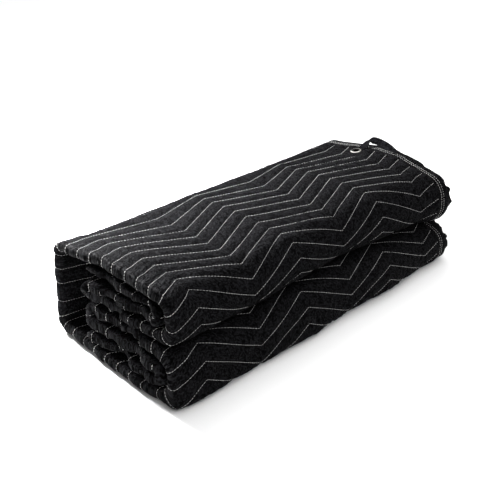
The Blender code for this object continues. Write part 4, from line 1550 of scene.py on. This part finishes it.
@dataclass(frozen=True)
class PlatedNickel:
    """Nickel-plated brass, stamped and rolled: scuffed, with a painted highlight on the rim's crown and
    painted shade in the barrel and on the flank.

    The barrel and the flank start and end at shares of the reach, measured from the eyelet's axis.
    """

    seat: EyeletSeat
    name: str = "nickel_plated_brass"
    # Colours: the painted highlight on the rim's crown, the painted shade in the barrel, and the painted
    # shade on the flank
    crown_painted_highlight: str = "#f0eee8"
    barrel_painted_shade: str = "#121110"
    shaded: str = "#55534f"
    roughness: float = 0.38
    roughness_range: tuple[float, float] = (0.6, 1.5)
    scuff_mm: float = 1.1111
    scuff_depth_mm: float = 0.1
    reach: float = 0.0105
    barrel: tuple[float, float] = (0.74, 0.82)
    flank: tuple[float, float] = (0.85, 0.89)

    def make(self) -> bpy.types.Material:
        """Build the material: scuffed metal, with a painted highlight on the rim's crown and painted shade
        inside and outside it.

        Returns:
            The material.
        """
        material, tree, shader = start_material(self.name)
        place = add(tree, "ShaderNodeTexCoord", {}).outputs["Object"]
        scale = 1000.0 / self.scuff_mm
        scuff = add(tree, "ShaderNodeTexNoise", {"Vector": place, "Scale": scale, "Detail": 3.0})
        smoothest, roughest = (self.roughness * share for share in self.roughness_range)
        rough = add(
            tree, "ShaderNodeMapRange",
            {"Value": scuff.outputs["Fac"], "To Min": smoothest, "To Max": roughest},
        )
        bump = add(
            tree, "ShaderNodeBump",
            {"Height": scuff.outputs["Fac"], "Strength": 0.2, "Distance": self.scuff_depth_mm / 1000.0},
        )
        middle, axis = tuple(self.seat.middle), tuple(self.seat.axis)
        away = add(tree, "ShaderNodeVectorMath", {"#0": place, "#1": middle}, operation="SUBTRACT")
        away = away.outputs[0]
        around = add(tree, "ShaderNodeVectorMath", {"#0": away, "#1": axis}, operation="CROSS_PRODUCT")
        radius = add(tree, "ShaderNodeVectorMath", {"#0": around.outputs[0]}, operation="LENGTH")
        outward = add(tree, "ShaderNodeMapRange", {"Value": radius.outputs["Value"], "From Max": self.reach})
        ramp = add(tree, "ShaderNodeValToRGB", {"Fac": outward.outputs[0]})
        # Painted shade in the barrel, a painted highlight on the crown and painted shade on the flank, set by
        # the distance from the axis
        crown = ((self.barrel[1], self.crown_painted_highlight), (self.flank[0], self.crown_painted_highlight))
        set_stops(ramp, (self.barrel[0], self.barrel_painted_shade), *crown, (self.flank[1], self.shaded))
        wire(tree, shader, {
            "Base Color": ramp.outputs["Color"],
            "Roughness": rough.outputs[0],
            "Normal": bump.outputs["Normal"],
            "Metallic": 1.0,
        })
        return material


@dataclass(frozen=True)
class SeamlessPaper:
    """White seamless backdrop paper: matt and even."""

    name: str = "white_seamless_paper"
    white: str = "#fbfbfb"
    roughness: float = 0.9

    def make(self) -> bpy.types.Material:
        """Build the material: one flat colour.

        Returns:
            The material.
        """
        material, tree, shader = start_material(self.name)
        wire(tree, shader, {"Base Color": linear(self.white), "Roughness": self.roughness})
        return material


def aim(thing: bpy.types.Object, at: tuple[float, ...], target: tuple[float, ...]) -> None:
    """Put a camera or a light in the scene.

    Args:
        thing: The camera or light.
        at: Where it stands.
        target: The point that it looks at or shines on.
    """
    thing.location = at
    thing.rotation_mode = "QUATERNION"
    thing.rotation_quaternion = (Vector(target) - Vector(at)).to_track_quat("-Z", "Y")
    bpy.context.scene.collection.objects.link(thing)


@dataclass(frozen=True)
class Softbox:
    """A square soft light, its side in metres and its power in watts."""

    name: str
    at: tuple[float, float, float]
    side: float
    power: float
    target: tuple[float, float, float]

    def place(self) -> None:
        """Make the light and aim it."""
        light = bpy.data.objects.new(self.name, bpy.data.lights.new(self.name, "AREA"))
        light.data.size = self.side
        light.data.energy = self.power
        aim(light, self.at, self.target)


@dataclass
class Studio:
    """A plain white studio and the photograph's viewpoint, as fitted to the bundle's corners."""

    camera_at: tuple[float, float, float] = (-0.8877, -0.9244, 0.7905)
    looks_at: tuple[float, float, float] = (0.0790, 0.1288, 0.0)
    focal_pixels: float = 902.3
    sensor: float = 36.0
    sees_to: float = 50.0
    floor_side: float = 12.0
    floor_drop: float = 0.0004
    surround: float = 0.42
    surround_white: str = "#ffffff"
    softboxes: tuple[Softbox, ...] = (
        Softbox("overhead_softbox", (1.2, 0.6, 2.7), 2.7, 82.0, (0.4, 0.2, 0.0)),
        Softbox("front_softbox", (0.5, -1.8, 2.2), 1.6, 26.0, (0.1, -0.3, 0.0)),
        Softbox("left_back_softbox", (-0.26, 0.55, 0.42), 0.20, 36.0, (-0.25, 0.10, 0.15)),
    )

    def place_camera(self) -> None:
        """Make the camera and aim it."""
        camera = bpy.data.objects.new("camera", bpy.data.cameras.new("camera"))
        aim(camera, self.camera_at, self.looks_at)
        camera.data.sensor_width = self.sensor
        camera.data.lens = self.focal_pixels / PHOTO_SIDE * self.sensor
        camera.data.clip_end = self.sees_to
        bpy.context.scene.camera = camera

    def lay_floor(self) -> None:
        """Make the pale floor, just low enough for the stitches under the bundle."""
        side, level = self.floor_side / 2.0, -self.floor_drop
        corners = [(-side, -side, level), (side, -side, level), (side, side, level), (-side, side, level)]
        floor = new_piece("floor", np.array(corners), [[0, 1, 2, 3]])
        set_material(floor, SeamlessPaper().make())

    def light(self) -> None:
        """Light the bundle from above, from behind on the left and a little from the front."""
        bpy.context.scene.view_settings.view_transform = "Standard"
        world = bpy.context.scene.world or bpy.data.worlds.new("studio")
        bpy.context.scene.world = world
        world.use_nodes = True
        background = world.node_tree.nodes["Background"]
        background.inputs["Color"].default_value = linear(self.surround_white)
        background.inputs["Strength"].default_value = self.surround
        for softbox in self.softboxes:
            softbox.place()


def set_material(thing: bpy.types.Object, material: bpy.types.Material) -> None:
    """Give an object one material, on its own slots where it has them.

    Args:
        thing: The object.
        material: The material.
    """
    if not thing.material_slots:
        thing.data.materials.append(material)
    for slot in thing.material_slots:
        slot.material = material


def dress_piece(piece: bpy.types.Object, material: bpy.types.Material, slot: str) -> None:
    """Give a piece its material, put it on the part's one body, and log the name of its slot.

    Args:
        piece: The piece.
        material: The material.
        slot: The name of its slot, which is only logged.
    """
    LOG.info("%s: %s on slot %s", piece.name, material.name, slot)
    set_material(piece, material)
    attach(piece, "root")


def main() -> None:
    """Load the frame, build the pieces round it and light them."""
    logging.basicConfig(level=logging.INFO, format="%(name)s: %(message)s")
    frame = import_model()
    studio = Studio()
    studio.place_camera()

    seat = EyeletSeat(frame["nodes"]["eyelet"])
    cloth = QuiltedCloth(Ribbon())
    skin = cloth.build("quilted_blanket", seat)
    cloth.dress(skin)
    sewing = Stitching(cloth)
    rows, ends, hems = sewing.zigzags(seat), sewing.fold_ends(), sewing.hems()
    sewing.dress(rows, ends, hems)
    tape = TapeLoop()
    loop = tape.build(cloth)
    tape.dress(loop)
    seat.dress()

    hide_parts("blanket", "eyelet_strip")
    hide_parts("tape_loop")
    studio.lay_floor()
    studio.light()


if __name__ == "__main__":
    main()
